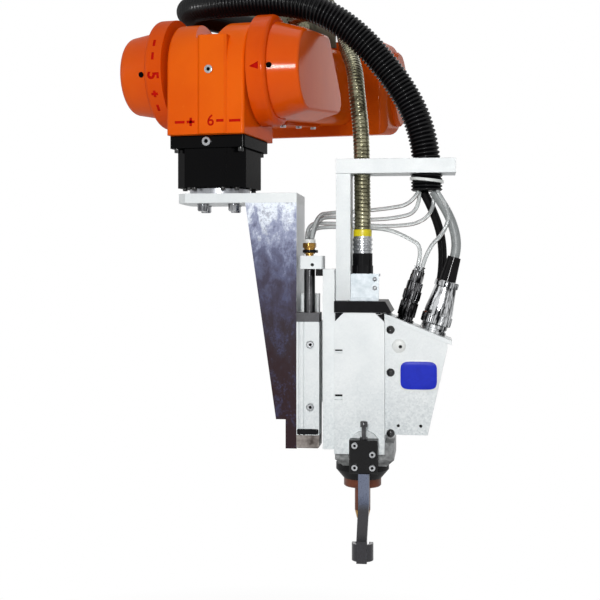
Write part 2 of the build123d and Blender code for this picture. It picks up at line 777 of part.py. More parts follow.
# Lifting cylinder: body with sensor grooves, screw seats and the bore for the rod
cylinder_width = CYLINDER_RIGHT - HANGER_RIGHT
with BuildPart() as cylinder_body:
    bar(
        tool_side(HANGER_RIGHT), CYLINDER_FRONT, CYLINDER_REAR, CYLINDER_BOTTOM, CYLINDER_TOP, cylinder_width
    )
    for groove_x in GROOVE_XS:
        bar(
            tool_front(CYLINDER_FRONT + GROOVE_DEPTH),
            groove_x - GROOVE_WIDTH / 2,
            groove_x + GROOVE_WIDTH / 2,
            CYLINDER_BOTTOM,
            CYLINDER_TOP,
            GROOVE_DEPTH,
            Mode.SUBTRACT,
        )
    with BuildSketch(tool_front(CYLINDER_FRONT + CYLINDER_SCREW_DEPTH)):
        with Locations(*[(CYLINDER_SCREW_X, screw_z) for screw_z in CYLINDER_SCREW_ZS]):
            Circle(CYLINDER_SCREW_RADIUS)
    extrude(amount=CYLINDER_SCREW_DEPTH, mode=Mode.SUBTRACT)
    bore_plane = Plane(tool_point(ROD_X, ROD_Y, ROD_BORE_BOTTOM), x_dir=TOOL_RIGHT, z_dir=UP)
    rod(bore_plane, ROD_RADIUS + FIT_GAP, CYLINDER_TOP - ROD_BORE_BOTTOM, Mode.SUBTRACT)
write(cylinder_body, "cylinder_body")

with BuildPart() as cylinder_head:
    bar(
        tool_side(HANGER_RIGHT),
        CYLINDER_FRONT,
        CYLINDER_REAR,
        CYLINDER_TOP,
        CYLINDER_HEAD_TOP,
        cylinder_width,
    )
    rod(bore_plane, ROD_RADIUS + FIT_GAP, CYLINDER_HEAD_TOP - ROD_BORE_BOTTOM, Mode.SUBTRACT)
write(cylinder_head, "cylinder_head")

with BuildPart() as stop_block:
    bar(
        tool_side(HANGER_RIGHT),
        CYLINDER_FRONT,
        CYLINDER_REAR,
        STOP_BOTTOM,
        CYLINDER_BOTTOM,
        cylinder_width,
    )
    chamfer(stop_block.faces().sort_by(Axis.Z)[0].edges(), STOP_EDGE)
write(stop_block, "stop_block")

# Piston rod, rod block and the link to the carriage
with BuildPart() as piston_rod:
    rod_plane = Plane(tool_point(ROD_X, ROD_Y, ROD_BOTTOM), x_dir=TOOL_RIGHT, z_dir=UP)
    rod(rod_plane, ROD_RADIUS, ROD_BLOCK_BOTTOM - ROD_BOTTOM)
write(piston_rod, "piston_rod")

with BuildPart() as rod_block:
    bar(
        tool_side(ROD_BLOCK_LEFT),
        CYLINDER_FRONT,
        CYLINDER_REAR,
        ROD_BLOCK_BOTTOM,
        ROD_BLOCK_TOP,
        ROD_BLOCK_RIGHT - ROD_BLOCK_LEFT,
    )
    chamfer(rod_block.edges().filter_by(Axis.Z), ROD_BLOCK_EDGE)
write(rod_block, "rod_block")

with BuildPart() as rod_link:
    bar(
        tool_side(LINK_LEFT),
        CYLINDER_FRONT,
        CYLINDER_REAR,
        LINK_BOTTOM,
        ROD_BLOCK_BOTTOM,
        SLIDE_LEFT - LINK_LEFT,
    )
write(rod_link, "rod_link")

with BuildPart() as hose_fitting:
    fitting_plane = Plane(tool_point(ROD_X, ROD_Y, ROD_BLOCK_TOP), x_dir=TOOL_RIGHT, z_dir=UP)
    rod(fitting_plane, FITTING_NECK_RADIUS, FITTING_TOP - ROD_BLOCK_TOP)
    rod(fitting_plane.offset(FITTING_NECK), FITTING_RADIUS, FITTING_TOP - ROD_BLOCK_TOP - FITTING_NECK)
write(hose_fitting, "hose_fitting")

with BuildPart() as fitting_collar:
    collar_plane = Plane(tool_point(ROD_X, ROD_Y, FITTING_TOP), x_dir=TOOL_RIGHT, z_dir=UP)
    rod(collar_plane, COLLAR_RADIUS, COLLAR_TOP - FITTING_TOP)
write(fitting_collar, "fitting_collar")

# Carriage on the rail, and the plate it carries
with BuildPart() as guide_carriage:
    bar(
        tool_side(CARRIAGE_LEFT),
        CARRIAGE_FRONT,
        CARRIAGE_REAR,
        CARRIAGE_BOTTOM,
        CARRIAGE_TOP,
        SLIDE_LEFT - CARRIAGE_LEFT,
    )
    bar(
        tool_side(CARRIAGE_LEFT),
        RAIL_FRONT - SLIDE_GAP,
        RAIL_REAR + SLIDE_GAP,
        CARRIAGE_BOTTOM,
        CARRIAGE_TOP,
        RAIL_RIGHT + SLIDE_GAP - CARRIAGE_LEFT,
        Mode.SUBTRACT,
    )
write(guide_carriage, "guide_carriage")

with BuildPart() as carriage_plate:
    bar(
        tool_side(SLIDE_LEFT),
        -SLIDE_HALF_DEPTH,
        SLIDE_HALF_DEPTH,
        SLIDE_BOTTOM,
        SLIDE_TOP,
        SLIDE_RIGHT - SLIDE_LEFT,
    )
write(carriage_plate, "carriage_plate")

# Post and arm that carry the conduit and the hose
with BuildPart() as cable_post:
    bar(
        tool_side(SLIDE_RIGHT),
        -POST_HALF_DEPTH,
        POST_HALF_DEPTH,
        TOP_PLATE_TOP,
        ARM_BOTTOM,
        POST_RIGHT - SLIDE_RIGHT,
    )
write(cable_post, "cable_post")

with BuildPart() as cable_arm:
    bar(
        tool_level(ARM_BOTTOM),
        SLIDE_RIGHT,
        ARM_RIGHT,
        -ARM_HALF_DEPTH,
        ARM_HALF_DEPTH,
        ARM_TOP - ARM_BOTTOM,
    )
    with BuildSketch(tool_level(ARM_BOTTOM)):
        with Locations((HEAD_X, 0)):
            Circle(HOSE_RADIUS + LINE_GAP)
        with Locations((CONDUIT_X, 0)):
            Circle(CONDUIT_RADIUS + LINE_GAP)
    extrude(amount=ARM_TOP - ARM_BOTTOM, mode=Mode.SUBTRACT)
write(cable_arm, "cable_arm")

# Top plate of the head with one slanted corner
with BuildPart() as head_top_plate:
    top_corners = (
        (SLIDE_RIGHT, TOP_PLATE_BOTTOM),
        (TOP_PLATE_RIGHT, TOP_PLATE_BOTTOM),
        (TOP_PLATE_RIGHT - TOP_PLATE_SLANT, TOP_PLATE_TOP),
        (SLIDE_RIGHT, TOP_PLATE_TOP),
    )
    outline(tool_front(TOP_PLATE_REAR), top_corners, TOP_PLATE_REAR - TOP_PLATE_FRONT)
write(head_top_plate, "head_top_plate")

# Housing of the head and its front cover
with BuildPart() as head_housing:
    bar(
        tool_front(HEAD_REAR),
        SLIDE_RIGHT,
        HEAD_RIGHT,
        HEAD_BOTTOM,
        TOP_PLATE_BOTTOM,
        HEAD_REAR - HEAD_FRONT,
    )
write(head_housing, "head_housing")

with BuildPart() as front_cover:
    cover_corners = (
        (SLIDE_RIGHT, HEAD_BOTTOM),
        (HEAD_RIGHT, HEAD_BOTTOM),
        (HEAD_RIGHT, TOP_PLATE_BOTTOM - COVER_CHAMFER),
        (HEAD_RIGHT - COVER_CHAMFER, TOP_PLATE_BOTTOM),
        (SLIDE_RIGHT + COVER_CHAMFER, TOP_PLATE_BOTTOM),
        (SLIDE_RIGHT, TOP_PLATE_BOTTOM - COVER_CHAMFER),
    )
    outline(tool_front(HEAD_FRONT), cover_corners, HEAD_FRONT - COVER_FRONT)
    for slot_z, slot_high in COVER_SLOTS:
        bar(
            tool_front(HEAD_FRONT),
            SLIDE_RIGHT,
            SLIDE_RIGHT + COVER_SLOT_WIDTH,
            slot_z - slot_high,
            slot_z,
            HEAD_FRONT - COVER_FRONT,
            Mode.SUBTRACT,
        )
write(front_cover, "front_cover")

# Connector box with its slanted lid
with BuildPart() as connector_box:
    box_corners = (
        (HEAD_RIGHT, BOX_TOP_LEFT),
        (BOX_SHOULDER, BOX_TOP_RIGHT),
        (BOX_SHOULDER, BOX_SHOULDER_LOW),
        (BOX_FOOT, BOX_BOTTOM),
        (HEAD_RIGHT, BOX_BOTTOM),
    )
    outline(tool_front(BOX_REAR), box_corners, BOX_REAR - BOX_FRONT)
write(connector_box, "connector_box")

lid_slope = (BOX_TOP_RIGHT - BOX_TOP_LEFT) / (BOX_SHOULDER - HEAD_RIGHT)
lid_end = BOX_TOP_RIGHT + BOX_LID_OVERHANG * lid_slope
lid_normal = (UP - TOOL_RIGHT * lid_slope).normalized()


def lid_point(right, back):
    """Point on the lid's upper face."""
    return tool_point(right, back, BOX_TOP_LEFT + BOX_LID_THICK + (right - HEAD_RIGHT) * lid_slope)


lid_face = Plane(lid_point(HEAD_RIGHT, 0), x_dir=TOOL_BACK, z_dir=lid_normal)
with BuildPart() as connector_lid:
    lid_corners = (
        (HEAD_RIGHT, BOX_TOP_LEFT),
        (BOX_SHOULDER + BOX_LID_OVERHANG, lid_end),
        (BOX_SHOULDER + BOX_LID_OVERHANG, lid_end + BOX_LID_THICK),
        (HEAD_RIGHT, BOX_TOP_LEFT + BOX_LID_THICK),
    )
    outline(tool_front(BOX_REAR), lid_corners, BOX_REAR - BOX_FRONT)
    black_seat = Plane(lid_point(BLACK_GLAND_X, BLACK_GLAND_Y), x_dir=TOOL_BACK, z_dir=lid_normal)
    rod(black_seat, BLACK_GLAND_RADIUS, BLACK_GLAND_LENGTH)
write(connector_lid, "connector_lid")

# Small connector, cut off along the lid
small_plane = Plane(lid_point(SMALL_X, SMALL_Y), x_dir=TOOL_BACK, z_dir=LEANING)
with BuildPart() as small_connector:
    rod(small_plane.offset(-CONNECTOR_ROOT), SMALL_RADIUS, CONNECTOR_ROOT + SMALL_LENGTH)
    rod(small_plane.offset(-CONNECTOR_ROOT), SMALL_NUT_RADIUS, CONNECTOR_ROOT + SMALL_NUT_LENGTH)
    rod(small_plane, SMALL_CAP_RADIUS, SMALL_LENGTH + SMALL_CAP_LENGTH)
    split(bisect_by=lid_face, keep=Keep.TOP)
write(small_connector, "small_connector")

# Large connector, turned and cut off along the lid, and its boot
large_foot = lid_point(LARGE_X, LARGE_Y)
large_top = LARGE_LENGTH + LARGE_NECK_LENGTH + LARGE_RING_LENGTH
with BuildPart() as large_connector:
    large_profile = (
        (0, -CONNECTOR_ROOT),
        (LARGE_BASE_RADIUS, -CONNECTOR_ROOT),
        (LARGE_BASE_RADIUS, LARGE_BASE_LENGTH),
        (LARGE_RADIUS, LARGE_BASE_LENGTH),
        (LARGE_RADIUS, LARGE_LENGTH),
        (LARGE_NECK_RADIUS, LARGE_LENGTH + LARGE_NECK_LENGTH),
        (LARGE_RING_RADIUS, LARGE_LENGTH + LARGE_NECK_LENGTH),
        (LARGE_RING_RADIUS, large_top),
        (0, large_top),
    )
    large_section = Plane(large_foot, x_dir=LEAN_ACROSS, z_dir=-TOOL_BACK)
    turned(large_section, Axis(large_foot, LEANING), large_profile)
    split(bisect_by=lid_face, keep=Keep.TOP)
write(large_connector, "large_connector")

boot_plane = Plane(large_foot + LEANING * large_top, x_dir=TOOL_BACK, z_dir=LEANING)
with BuildPart() as connector_boot:
    with BuildSketch(boot_plane):
        Circle(BOOT_RADIUS)
    with BuildSketch(boot_plane.offset(BOOT_LENGTH)):
        Circle(BOOT_END_RADIUS)
    loft()
write(connector_boot, "connector_boot")

# Gland of the metal hose: ferrule, marker ring, nut and the bent bracket under it
with BuildPart() as hose_ferrule:
    ferrule_plane = Plane(tool_point(HEAD_X, 0, FERRULE_BOTTOM), x_dir=TOOL_RIGHT, z_dir=UP)
    rod(ferrule_plane, FERRULE_RADIUS, FERRULE_TOP - FERRULE_BOTTOM)
write(hose_ferrule, "hose_ferrule")

with BuildPart() as hose_gland:
    gland_plane = Plane(tool_point(HEAD_X, 0, GLAND_BOTTOM), x_dir=TOOL_RIGHT, z_dir=UP)
    rod(gland_plane, GLAND_RADIUS, FERRULE_BOTTOM - GLAND_BOTTOM)
    with BuildSketch(gland_plane):
        RegularPolygon(GLAND_HEX_RADIUS, 6)
    extrude(amount=GLAND_HEX_LENGTH)
write(hose_gland, "hose_gland")

with BuildPart() as gland_bracket:
    bend_low = TOP_PLATE_TOP + BRACKET_SHEET
    bracket_corners = (
        (BRACKET_FRONT - BRACKET_LIP, TOP_PLATE_TOP),
        (BRACKET_FRONT + BRACKET_SHEET, TOP_PLATE_TOP),
        (BRACKET_FRONT + BRACKET_SHEET, GLAND_BOTTOM - BRACKET_SHEET),
        (BRACKET_REAR, GLAND_BOTTOM - BRACKET_SHEET),
        (BRACKET_REAR, GLAND_BOTTOM),
        (BRACKET_FRONT, GLAND_BOTTOM),
        (BRACKET_FRONT, bend_low),
        (BRACKET_FRONT - BRACKET_LIP, bend_low),
    )
    outline(tool_side(BRACKET_LEFT), bracket_corners, BRACKET_RIGHT - BRACKET_LEFT)
write(gland_bracket, "gland_bracket")

# Collar that ends the conduit under the arm
with BuildPart() as conduit_collar:
    collar_end_plane = Plane(tool_point(CONDUIT_X, 0, COLLAR_END_BOTTOM), x_dir=TOOL_RIGHT, z_dir=UP)
    rod(collar_end_plane, COLLAR_END_RADIUS, ARM_BOTTOM - COLLAR_END_BOTTOM)
write(conduit_collar, "conduit_collar")

# Nose of the head: block, cone, insulator, chuck and tip
with BuildPart() as nose_block:
    bar(
        tool_front(NOSE_HALF_DEPTH),
        NOSE_LEFT,
        NOSE_RIGHT,
        NOSE_BOTTOM,
        HEAD_BOTTOM,
        NOSE_HALF_DEPTH * 2,
    )
    bar(
        tool_front(NOSE_HALF_DEPTH),
        HEAD_RIGHT,
        NOSE_RIGHT,
        HEAD_BOTTOM,
        HEAD_BOTTOM + NOSE_EAR,
        NOSE_HALF_DEPTH * 2,
    )
    chamfer(nose_block.faces().sort_by(Axis.Z)[0].edges(), NOSE_CHAMFER)
write(nose_block, "nose_block")

HEAD_AXIS = Axis(tool_point(HEAD_X, 0, 0), UP)
with BuildPart() as nose_cone:
    cone_profile = (
        (HEAD_X, NOSE_BOTTOM),
        (HEAD_X + CONE_RADIUS, NOSE_BOTTOM),
        (HEAD_X + CONE_RADIUS, NOSE_BOTTOM - CONE_STRAIGHT),
        (HEAD_X + CONE_END_RADIUS, CONE_BOTTOM),
        (HEAD_X, CONE_BOTTOM),
    )
    turned(tool_front(0), HEAD_AXIS, cone_profile)
write(nose_cone, "nose_cone")

with BuildPart() as insulator:
    insulator_plane = Plane(tool_point(HEAD_X, 0, INSULATOR_BOTTOM), x_dir=TOOL_RIGHT, z_dir=UP)
    rod(insulator_plane, INSULATOR_RADIUS, CONE_BOTTOM - INSULATOR_BOTTOM)
    chamfer(insulator.faces().sort_by(Axis.Z)[0].edges(), INSULATOR_EDGE)
write(insulator, "insulator")

with BuildPart() as chuck_tube:
    chuck_plane = Plane(tool_point(HEAD_X, 0, CHUCK_BOTTOM), x_dir=TOOL_RIGHT, z_dir=UP)
    rod(chuck_plane, CHUCK_RADIUS, INSULATOR_BOTTOM - CHUCK_BOTTOM)
write(chuck_tube, "chuck_tube")

with BuildPart() as chuck_tip:
    tip_profile = (
        (HEAD_X + TIP_BORE_RADIUS, CHUCK_BOTTOM),
        (HEAD_X + TIP_RADIUS, CHUCK_BOTTOM),
        (HEAD_X + TIP_END_RADIUS, TIP_BOTTOM),
        (HEAD_X + TIP_BORE_RADIUS, TIP_BOTTOM),
    )
    turned(tool_front(0), HEAD_AXIS, tip_profile)
write(chuck_tip, "chuck_tip")

# Support foot: round mount, clamp, bent bar and claw
with BuildPart() as foot_mount:
    with BuildSketch(tool_front(COVER_FRONT)):
        with Locations((FOOT_X, FOOT_MOUNT_Z)):
            Circle(FOOT_MOUNT_RADIUS)
    extrude(amount=COVER_FRONT - FOOT_MOUNT_FRONT)
write(foot_mount, "foot_mount")

with BuildPart() as foot_clamp:
    bar(
        tool_front(FOOT_MOUNT_FRONT),
        FOOT_X - CLAMP_HALF_WIDTH,
        FOOT_X + CLAMP_HALF_WIDTH,
        CLAMP_BOTTOM,
        CLAMP_TOP,
        FOOT_MOUNT_FRONT - CLAMP_FRONT,
    )
    chamfer(foot_clamp.faces().sort_by(Axis(WRIST, TOOL_BACK))[0].edges(), CLAMP_EDGE)
    bar(
        tool_front(BAR_BACK),
        FOOT_X - BAR_HALF_WIDTH,
        FOOT_X + BAR_HALF_WIDTH,
        CLAMP_BOTTOM,
        BAR_TOP,
        BAR_THICK,
        Mode.SUBTRACT,
    )
write(foot_clamp, "foot_clamp")

with BuildPart() as support_foot:
    bar_places = (
        (BAR_TOP, FOOT_X, BAR_BACK),
        (BAR_BEND, FOOT_X, BAR_BACK),
        (BAR_LOW, HEAD_X, BAR_LOW_BACK),
        (CLAW_BOTTOM, HEAD_X, BAR_LOW_BACK),
    )
    for level, middle, back in bar_places:
        with BuildSketch(tool_level(level)):
            with Locations((middle, back - BAR_THICK / 2)):
                Rectangle(BAR_HALF_WIDTH * 2, BAR_THICK)
    loft(ruled=True)
    with BuildSketch(tool_level(CLAW_BOTTOM)):
        with Locations((HEAD_X, 0)):
            Circle(CLAW_OUTER_RADIUS)
            Circle(CLAW_INNER_RADIUS, mode=Mode.SUBTRACT)
        with Locations((HEAD_X, CLAW_OPEN + CLAW_OUTER_RADIUS)):
            Rectangle(CLAW_OUTER_RADIUS * 2, CLAW_OUTER_RADIUS * 2, mode=Mode.SUBTRACT)
    extrude(amount=CLAW_TOP - CLAW_BOTTOM)
write(support_foot, "support_foot")

# Conduit from the collar, over the wrist, to its socket on the carrier
with BuildPart() as black_conduit:
    conduit_points = [tool_point(CONDUIT_X, 0, ARM_BOTTOM), tool_point(CONDUIT_X, 0, CONDUIT_RISE)]
    conduit_points += [wrist_point(*place) for place in CONDUIT_ROUTE]
    conduit_points.append(arm_point(CONDUIT_END_X, CARRIER_BACK - LINE_LEAD, LINE_HEIGHT))
    conduit_points.append(arm_point(CONDUIT_END_X, CARRIER_BACK, LINE_HEIGHT))
    line_tube(conduit_points, CONDUIT_RADIUS)
write(black_conduit, "black_conduit")

# Metal hose from its ferrule, along the inside of the conduit, to its socket
with BuildPart() as metal_hose:
    hose_points = [tool_point(HEAD_X, 0, FERRULE_TOP), tool_point(HEAD_X, 0, HOSE_RISE)]
    hose_points += [wrist_point(*place) for place in HOSE_ROUTE]
    hose_points.append(arm_point(HOSE_END_X, CARRIER_BACK - LINE_LEAD, LINE_HEIGHT))
    hose_points.append(arm_point(HOSE_END_X, CARRIER_BACK, LINE_HEIGHT))
    line_tube(hose_points, HOSE_RADIUS)
write(metal_hose, "metal_hose")

# Air hoses from the collar and from the small connector to the fitting on the rod block
with BuildPart() as first_air_hose:
    line_tube([tool_point(*place) for place in FIRST_AIR_ROUTE], AIR_RADIUS)
write(first_air_hose, "first_air_hose")

with BuildPart() as second_air_hose:
    line_tube([tool_point(*place) for place in SECOND_AIR_ROUTE], AIR_RADIUS)
write(second_air_hose, "second_air_hose")

with BuildPart() as third_air_hose:
    line_tube([tool_point(*place) for place in THIRD_AIR_ROUTE], AIR_RADIUS)
write(third_air_hose, "third_air_hose")

small_top = small_plane.origin + LEANING * (SMALL_LENGTH + SMALL_CAP_LENGTH)
with BuildPart() as fourth_air_hose:
    fourth_end = small_top - LEAN_ACROSS * HOSE_SPACING
    fourth_points = [tool_point(*place) for place in FOURTH_AIR_ROUTE]
    fourth_points += [fourth_end + LEANING * HOSE_LEAD, fourth_end]
    line_tube(fourth_points, AIR_RADIUS)
write(fourth_air_hose, "fourth_air_hose")

with BuildPart() as signal_hose:
    signal_end = small_top + LEAN_ACROSS * HOSE_SPACING
    signal_points = [tool_point(*place) for place in SIGNAL_ROUTE]
    signal_points += [signal_end + LEANING * HOSE_LEAD, signal_end]
    line_tube(signal_points, AIR_RADIUS)
write(signal_hose, "signal_hose")

# Cables from the collar to the large connector and to the gland behind it
with BuildPart() as grey_cable:
    grey_end = boot_plane.origin + LEANING * BOOT_LENGTH
    line_tube([tool_point(*GREY_START), grey_end + LEANING * GREY_LEAD, grey_end], GREY_RADIUS)
write(grey_cable, "grey_cable")

with BuildPart() as black_cable:
    black_end = black_seat.origin + lid_normal * BLACK_GLAND_LENGTH
    black_points = [tool_point(*place) for place in BLACK_ROUTE]
    black_points += [black_end + lid_normal * BLACK_LEAD, black_end]
    line_tube(black_points, BLACK_RADIUS)
write(black_cable, "black_cable")
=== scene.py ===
"""Looks of the robot forearm, its wrist and the stud welding head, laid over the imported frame."""

import math

import bmesh
import bpy
import numpy as np
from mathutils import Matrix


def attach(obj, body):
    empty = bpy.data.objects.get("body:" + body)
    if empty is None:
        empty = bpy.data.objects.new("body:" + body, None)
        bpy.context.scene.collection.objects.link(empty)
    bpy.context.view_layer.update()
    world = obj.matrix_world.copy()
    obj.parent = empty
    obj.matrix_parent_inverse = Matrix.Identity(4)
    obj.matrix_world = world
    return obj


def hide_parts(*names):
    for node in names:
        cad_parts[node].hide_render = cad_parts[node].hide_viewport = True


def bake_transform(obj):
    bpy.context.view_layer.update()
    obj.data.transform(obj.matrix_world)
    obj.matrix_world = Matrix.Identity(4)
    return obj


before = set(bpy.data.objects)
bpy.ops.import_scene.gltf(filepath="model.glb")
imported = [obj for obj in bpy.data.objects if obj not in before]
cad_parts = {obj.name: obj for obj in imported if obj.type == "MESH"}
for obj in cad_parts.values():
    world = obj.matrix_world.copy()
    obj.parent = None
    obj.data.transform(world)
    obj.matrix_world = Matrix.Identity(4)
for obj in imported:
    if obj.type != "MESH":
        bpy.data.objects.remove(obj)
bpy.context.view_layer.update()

# Directions of the arm, the wrist and the turned tool, as in the solids; lengths in mm
MM = 0.001
RISE, TURN, LEAN = np.radians((6.0, 8.5, 16.0))
UP = np.array((0.0, 0.0, 1.0))
ACROSS = np.array((1.0, 0.0, 0.0))
ARM_BACK = np.array((0.0, np.cos(RISE), np.sin(RISE)))
ARM_UP = np.array((0.0, -np.sin(RISE), np.cos(RISE)))
WRIST_BACK = np.array((0.0, 1.0, 0.0))
TOOL_RIGHT = np.array((np.cos(TURN), np.sin(TURN), 0.0))
TOOL_BACK = np.array((-np.sin(TURN), np.cos(TURN), 0.0))
LEANING = TOOL_RIGHT * np.sin(LEAN) + UP * np.cos(LEAN)
LEAN_ACROSS = TOOL_RIGHT * np.cos(LEAN) - UP * np.sin(LEAN)
LID_SLOPE = 36.0 / 89.0
WRIST = ACROSS * 165.0 - ARM_BACK * 640.0


def on_axes(points, right, back, up):
    """Wrist centre plus each of the three numbers times its direction, in metres."""
    points = np.asarray(points, float)
    return MM * (WRIST + points[..., :1] * right + points[..., 1:2] * back + points[..., 2:] * up)


def in_arm(points):
    """Across, back and up, counted along the rising forearm."""
    return on_axes(points, ACROSS, ARM_BACK, ARM_UP)


def in_wrist(points):
    """Right, back and up from the wrist centre."""
    return on_axes(points, ACROSS, WRIST_BACK, UP)


def in_tool(points):
    """Right, back and up from the wrist centre, on the turned tool."""
    return on_axes(points, TOOL_RIGHT, TOOL_BACK, UP)


def lid_point(right, back):
    """Point on the upper face of the connector box's slanted lid."""
    return in_tool((right, back, -357.0 - (right - 249.0) * LID_SLOPE))


# Camera at the photograph's angle
LOOK = np.radians(15.5)
CAMERA_BACK, CAMERA_RIGHT, CAMERA_DROP = 1.650, 0.120, 0.288
camera_right = np.array((np.cos(LOOK), np.sin(LOOK), 0.0))
camera_ahead = np.array((-np.sin(LOOK), np.cos(LOOK), 0.0))
camera = bpy.data.objects.new("camera", bpy.data.cameras.new("camera"))
bpy.context.scene.collection.objects.link(camera)
camera.location = WRIST * MM - camera_ahead * CAMERA_BACK + camera_right * CAMERA_RIGHT - UP * CAMERA_DROP
camera.rotation_euler = (math.pi / 2, 0.0, LOOK)
camera.data.sensor_width = 36.0
camera.data.lens = 66.0
camera.data.shift_y = -0.0575
camera.data.clip_start = 0.02
bpy.context.scene.camera = camera


# Finishes

def tone(red, green, blue):
    """Colour of 0 to 255 parts as the linear colour that the shader takes."""
    part = np.array((red, green, blue)) / 255.0
    linear = np.where(part <= 0.04045, part / 12.92, ((part + 0.055) / 1.055) ** 2.4)
    return (*linear.tolist(), 1.0)


class Finish:
    """A procedural material: nodes joined to one shader."""

    def __init__(self, name, metal=0.0, coat=0.0, coat_rough=0.1, level=0.5):
        self.material = bpy.data.materials.new(name)
        self.material.use_nodes = True
        self.tree = self.material.node_tree
        self.shader = self.tree.nodes["Principled BSDF"]
        self.shader.inputs["Metallic"].default_value = metal
        self.shader.inputs["Coat Weight"].default_value = coat
        self.shader.inputs["Coat Roughness"].default_value = coat_rough
        self.shader.inputs["Specular IOR Level"].default_value = level
        self.place = self.node("ShaderNodeTexCoord").outputs["Object"]

    def node(self, kind, **settings):
        made = self.tree.nodes.new(kind)
        for key, value in settings.items():
            setattr(made, key, value)
        return made

    def join(self, source, target):
        self.tree.links.new(source, target)

    def stretched(self, scale, turn=(0.0, 0.0, 0.0)):
        """The place, turned and stretched, for grain that runs one way."""
        mapping = self.node("ShaderNodeMapping", vector_type="TEXTURE")
        mapping.inputs["Scale"].default_value = tuple(1.0 / part for part in scale)
        mapping.inputs["Rotation"].default_value = turn
        self.join(self.place, mapping.inputs["Vector"])
        return mapping.outputs["Vector"]

    def noise(self, scale, detail=4.0, rough=0.55, where=None, distort=0.0):
        made = self.node("ShaderNodeTexNoise")
        made.inputs["Scale"].default_value = scale
        made.inputs["Detail"].default_value = detail
        made.inputs["Roughness"].default_value = rough
        made.inputs["Distortion"].default_value = distort
        self.join(self.place if where is None else where, made.inputs["Vector"])
        return made.outputs["Fac"]

    def height(self, low, high):
        """0 at the low height and 1 at the high one, in metres."""
        split = self.node("ShaderNodeSeparateXYZ")
        self.join(self.place, split.inputs["Vector"])
        return self.span(split.outputs["Z"], low, high, 0.0, 1.0)

    def span(self, value, low, high, first, last):
        """The value from low to high, carried over to first to last."""
        made = self.node("ShaderNodeMapRange")
        for key, number in (("From Min", low), ("From Max", high), ("To Min", first), ("To Max", last)):
            made.inputs[key].default_value = number
        self.join(value, made.inputs["Value"])
        return made.outputs["Result"]

    def ramp(self, value, stops):
        """Colours at places from 0 to 1 along a value."""
        made = self.node("ShaderNodeValToRGB")
        cells = made.color_ramp.elements
        while len(cells) < len(stops):
            cells.new(0.5)
        for cell, (place, colour) in zip(cells, stops):
            cell.position = place
            cell.color = colour
        self.join(value, made.inputs["Fac"])
        return made.outputs["Color"]

    def mixed(self, value, first, second):
        """The first colour where the value is 0 and the second where it is 1."""
        made = self.node("ShaderNodeMix", data_type="RGBA")
        for source, index in zip((value, first, second), (0, 6, 7)):
            socket = made.inputs[index]
            if isinstance(source, (tuple, float)):
                socket.default_value = source
            else:
                self.join(source, socket)
        return made.outputs[2]

    def math(self, kind, first, second):
        made = self.node("ShaderNodeMath", operation=kind)
        for source, socket in zip((first, second), made.inputs):
            if isinstance(source, float):
                socket.default_value = source
            else:
                self.join(source, socket)
        return made.outputs[0]

    def colour(self, source):
        self.join(source, self.shader.inputs["Base Color"])

    def rough(self, source):
        self.join(source, self.shader.inputs["Roughness"])

    def bump(self, source, depth, edge=0.0):
        """Relief of the given depth, over edges that are broken by the given radius, both in mm."""
        made = self.node("ShaderNodeBump")
        made.inputs["Distance"].default_value = depth * MM
        self.join(source, made.inputs["Height"])
        if edge:
            soft = self.node("ShaderNodeBevel", samples=6)
            soft.inputs["Radius"].default_value = edge * MM
            self.join(soft.outputs["Normal"], made.inputs["Normal"])
        self.join(made.outputs["Normal"], self.shader.inputs["Normal"])


def enamel(name, main, deep, dust, coat=0.16, gloss=(0.4, 0.6), edge=1.6):
    """Sprayed enamel over softened edges: drifts between two tones, specks of dust, a fine relief."""
    made = Finish(name, coat=coat, coat_rough=0.15, level=0.0)
    drift = made.span(made.noise(9.0, 3.0), 0.35, 0.65, 0.0, 1.0)
    specks = made.span(made.noise(420.0, 2.0), 0.66, 0.78, 0.0, 0.35)
    made.colour(made.mixed(specks, made.mixed(drift, main, deep), dust))
    made.rough(made.span(made.noise(60.0, 5.0), 0.3, 0.7, *gloss))
    made.bump(made.noise(650.0, 2.0), 0.05, edge)
    return made.material


def worked_metal(
    name, main, deep, metal, rough, stretch=(1.0, 1.0, 1.0), grain=300.0, turn=(0.0, 0.0, 0.0),
    relief=0.03, reach=(0.36, 0.62),
):
    """Metal with the fine lines of its working: noise drawn out one way, over slow changes of tone. On the
    chrome finishes the dark and bright streaks are painted reflections.
    """
    made = Finish(name, metal=metal)
    lines = made.noise(grain, 3.0, 0.6, made.stretched(stretch, turn))
    clouds = made.noise(26.0, 4.0, 0.6)
    both = made.math("ADD", made.math("MULTIPLY", lines, 0.55), made.math("MULTIPLY", clouds, 0.45))
    made.colour(made.ramp(both, ((reach[0], deep), (reach[1], main))))
    made.rough(made.span(both, 0.3, 0.7, *rough))
    made.bump(lines, relief)
    return made.material


def moulded(name, main, deep, rough, relief=0.04, grain=500.0, level=0.5, coat=0.0, coat_rough=0.1):
    """Plastic, rubber, black oxide or flat paint: a fine stipple and faint scuffs."""
    made = Finish(name, coat=coat, coat_rough=coat_rough, level=level)
    scuffs = made.span(made.noise(70.0, 6.0, 0.7, None, 0.6), 0.45, 0.75, 0.0, 1.0)
    made.colour(made.mixed(scuffs, main, deep))
    made.rough(made.span(scuffs, 0.0, 1.0, *rough))
    made.bump(made.noise(grain, 2.0), relief)
    return made.material


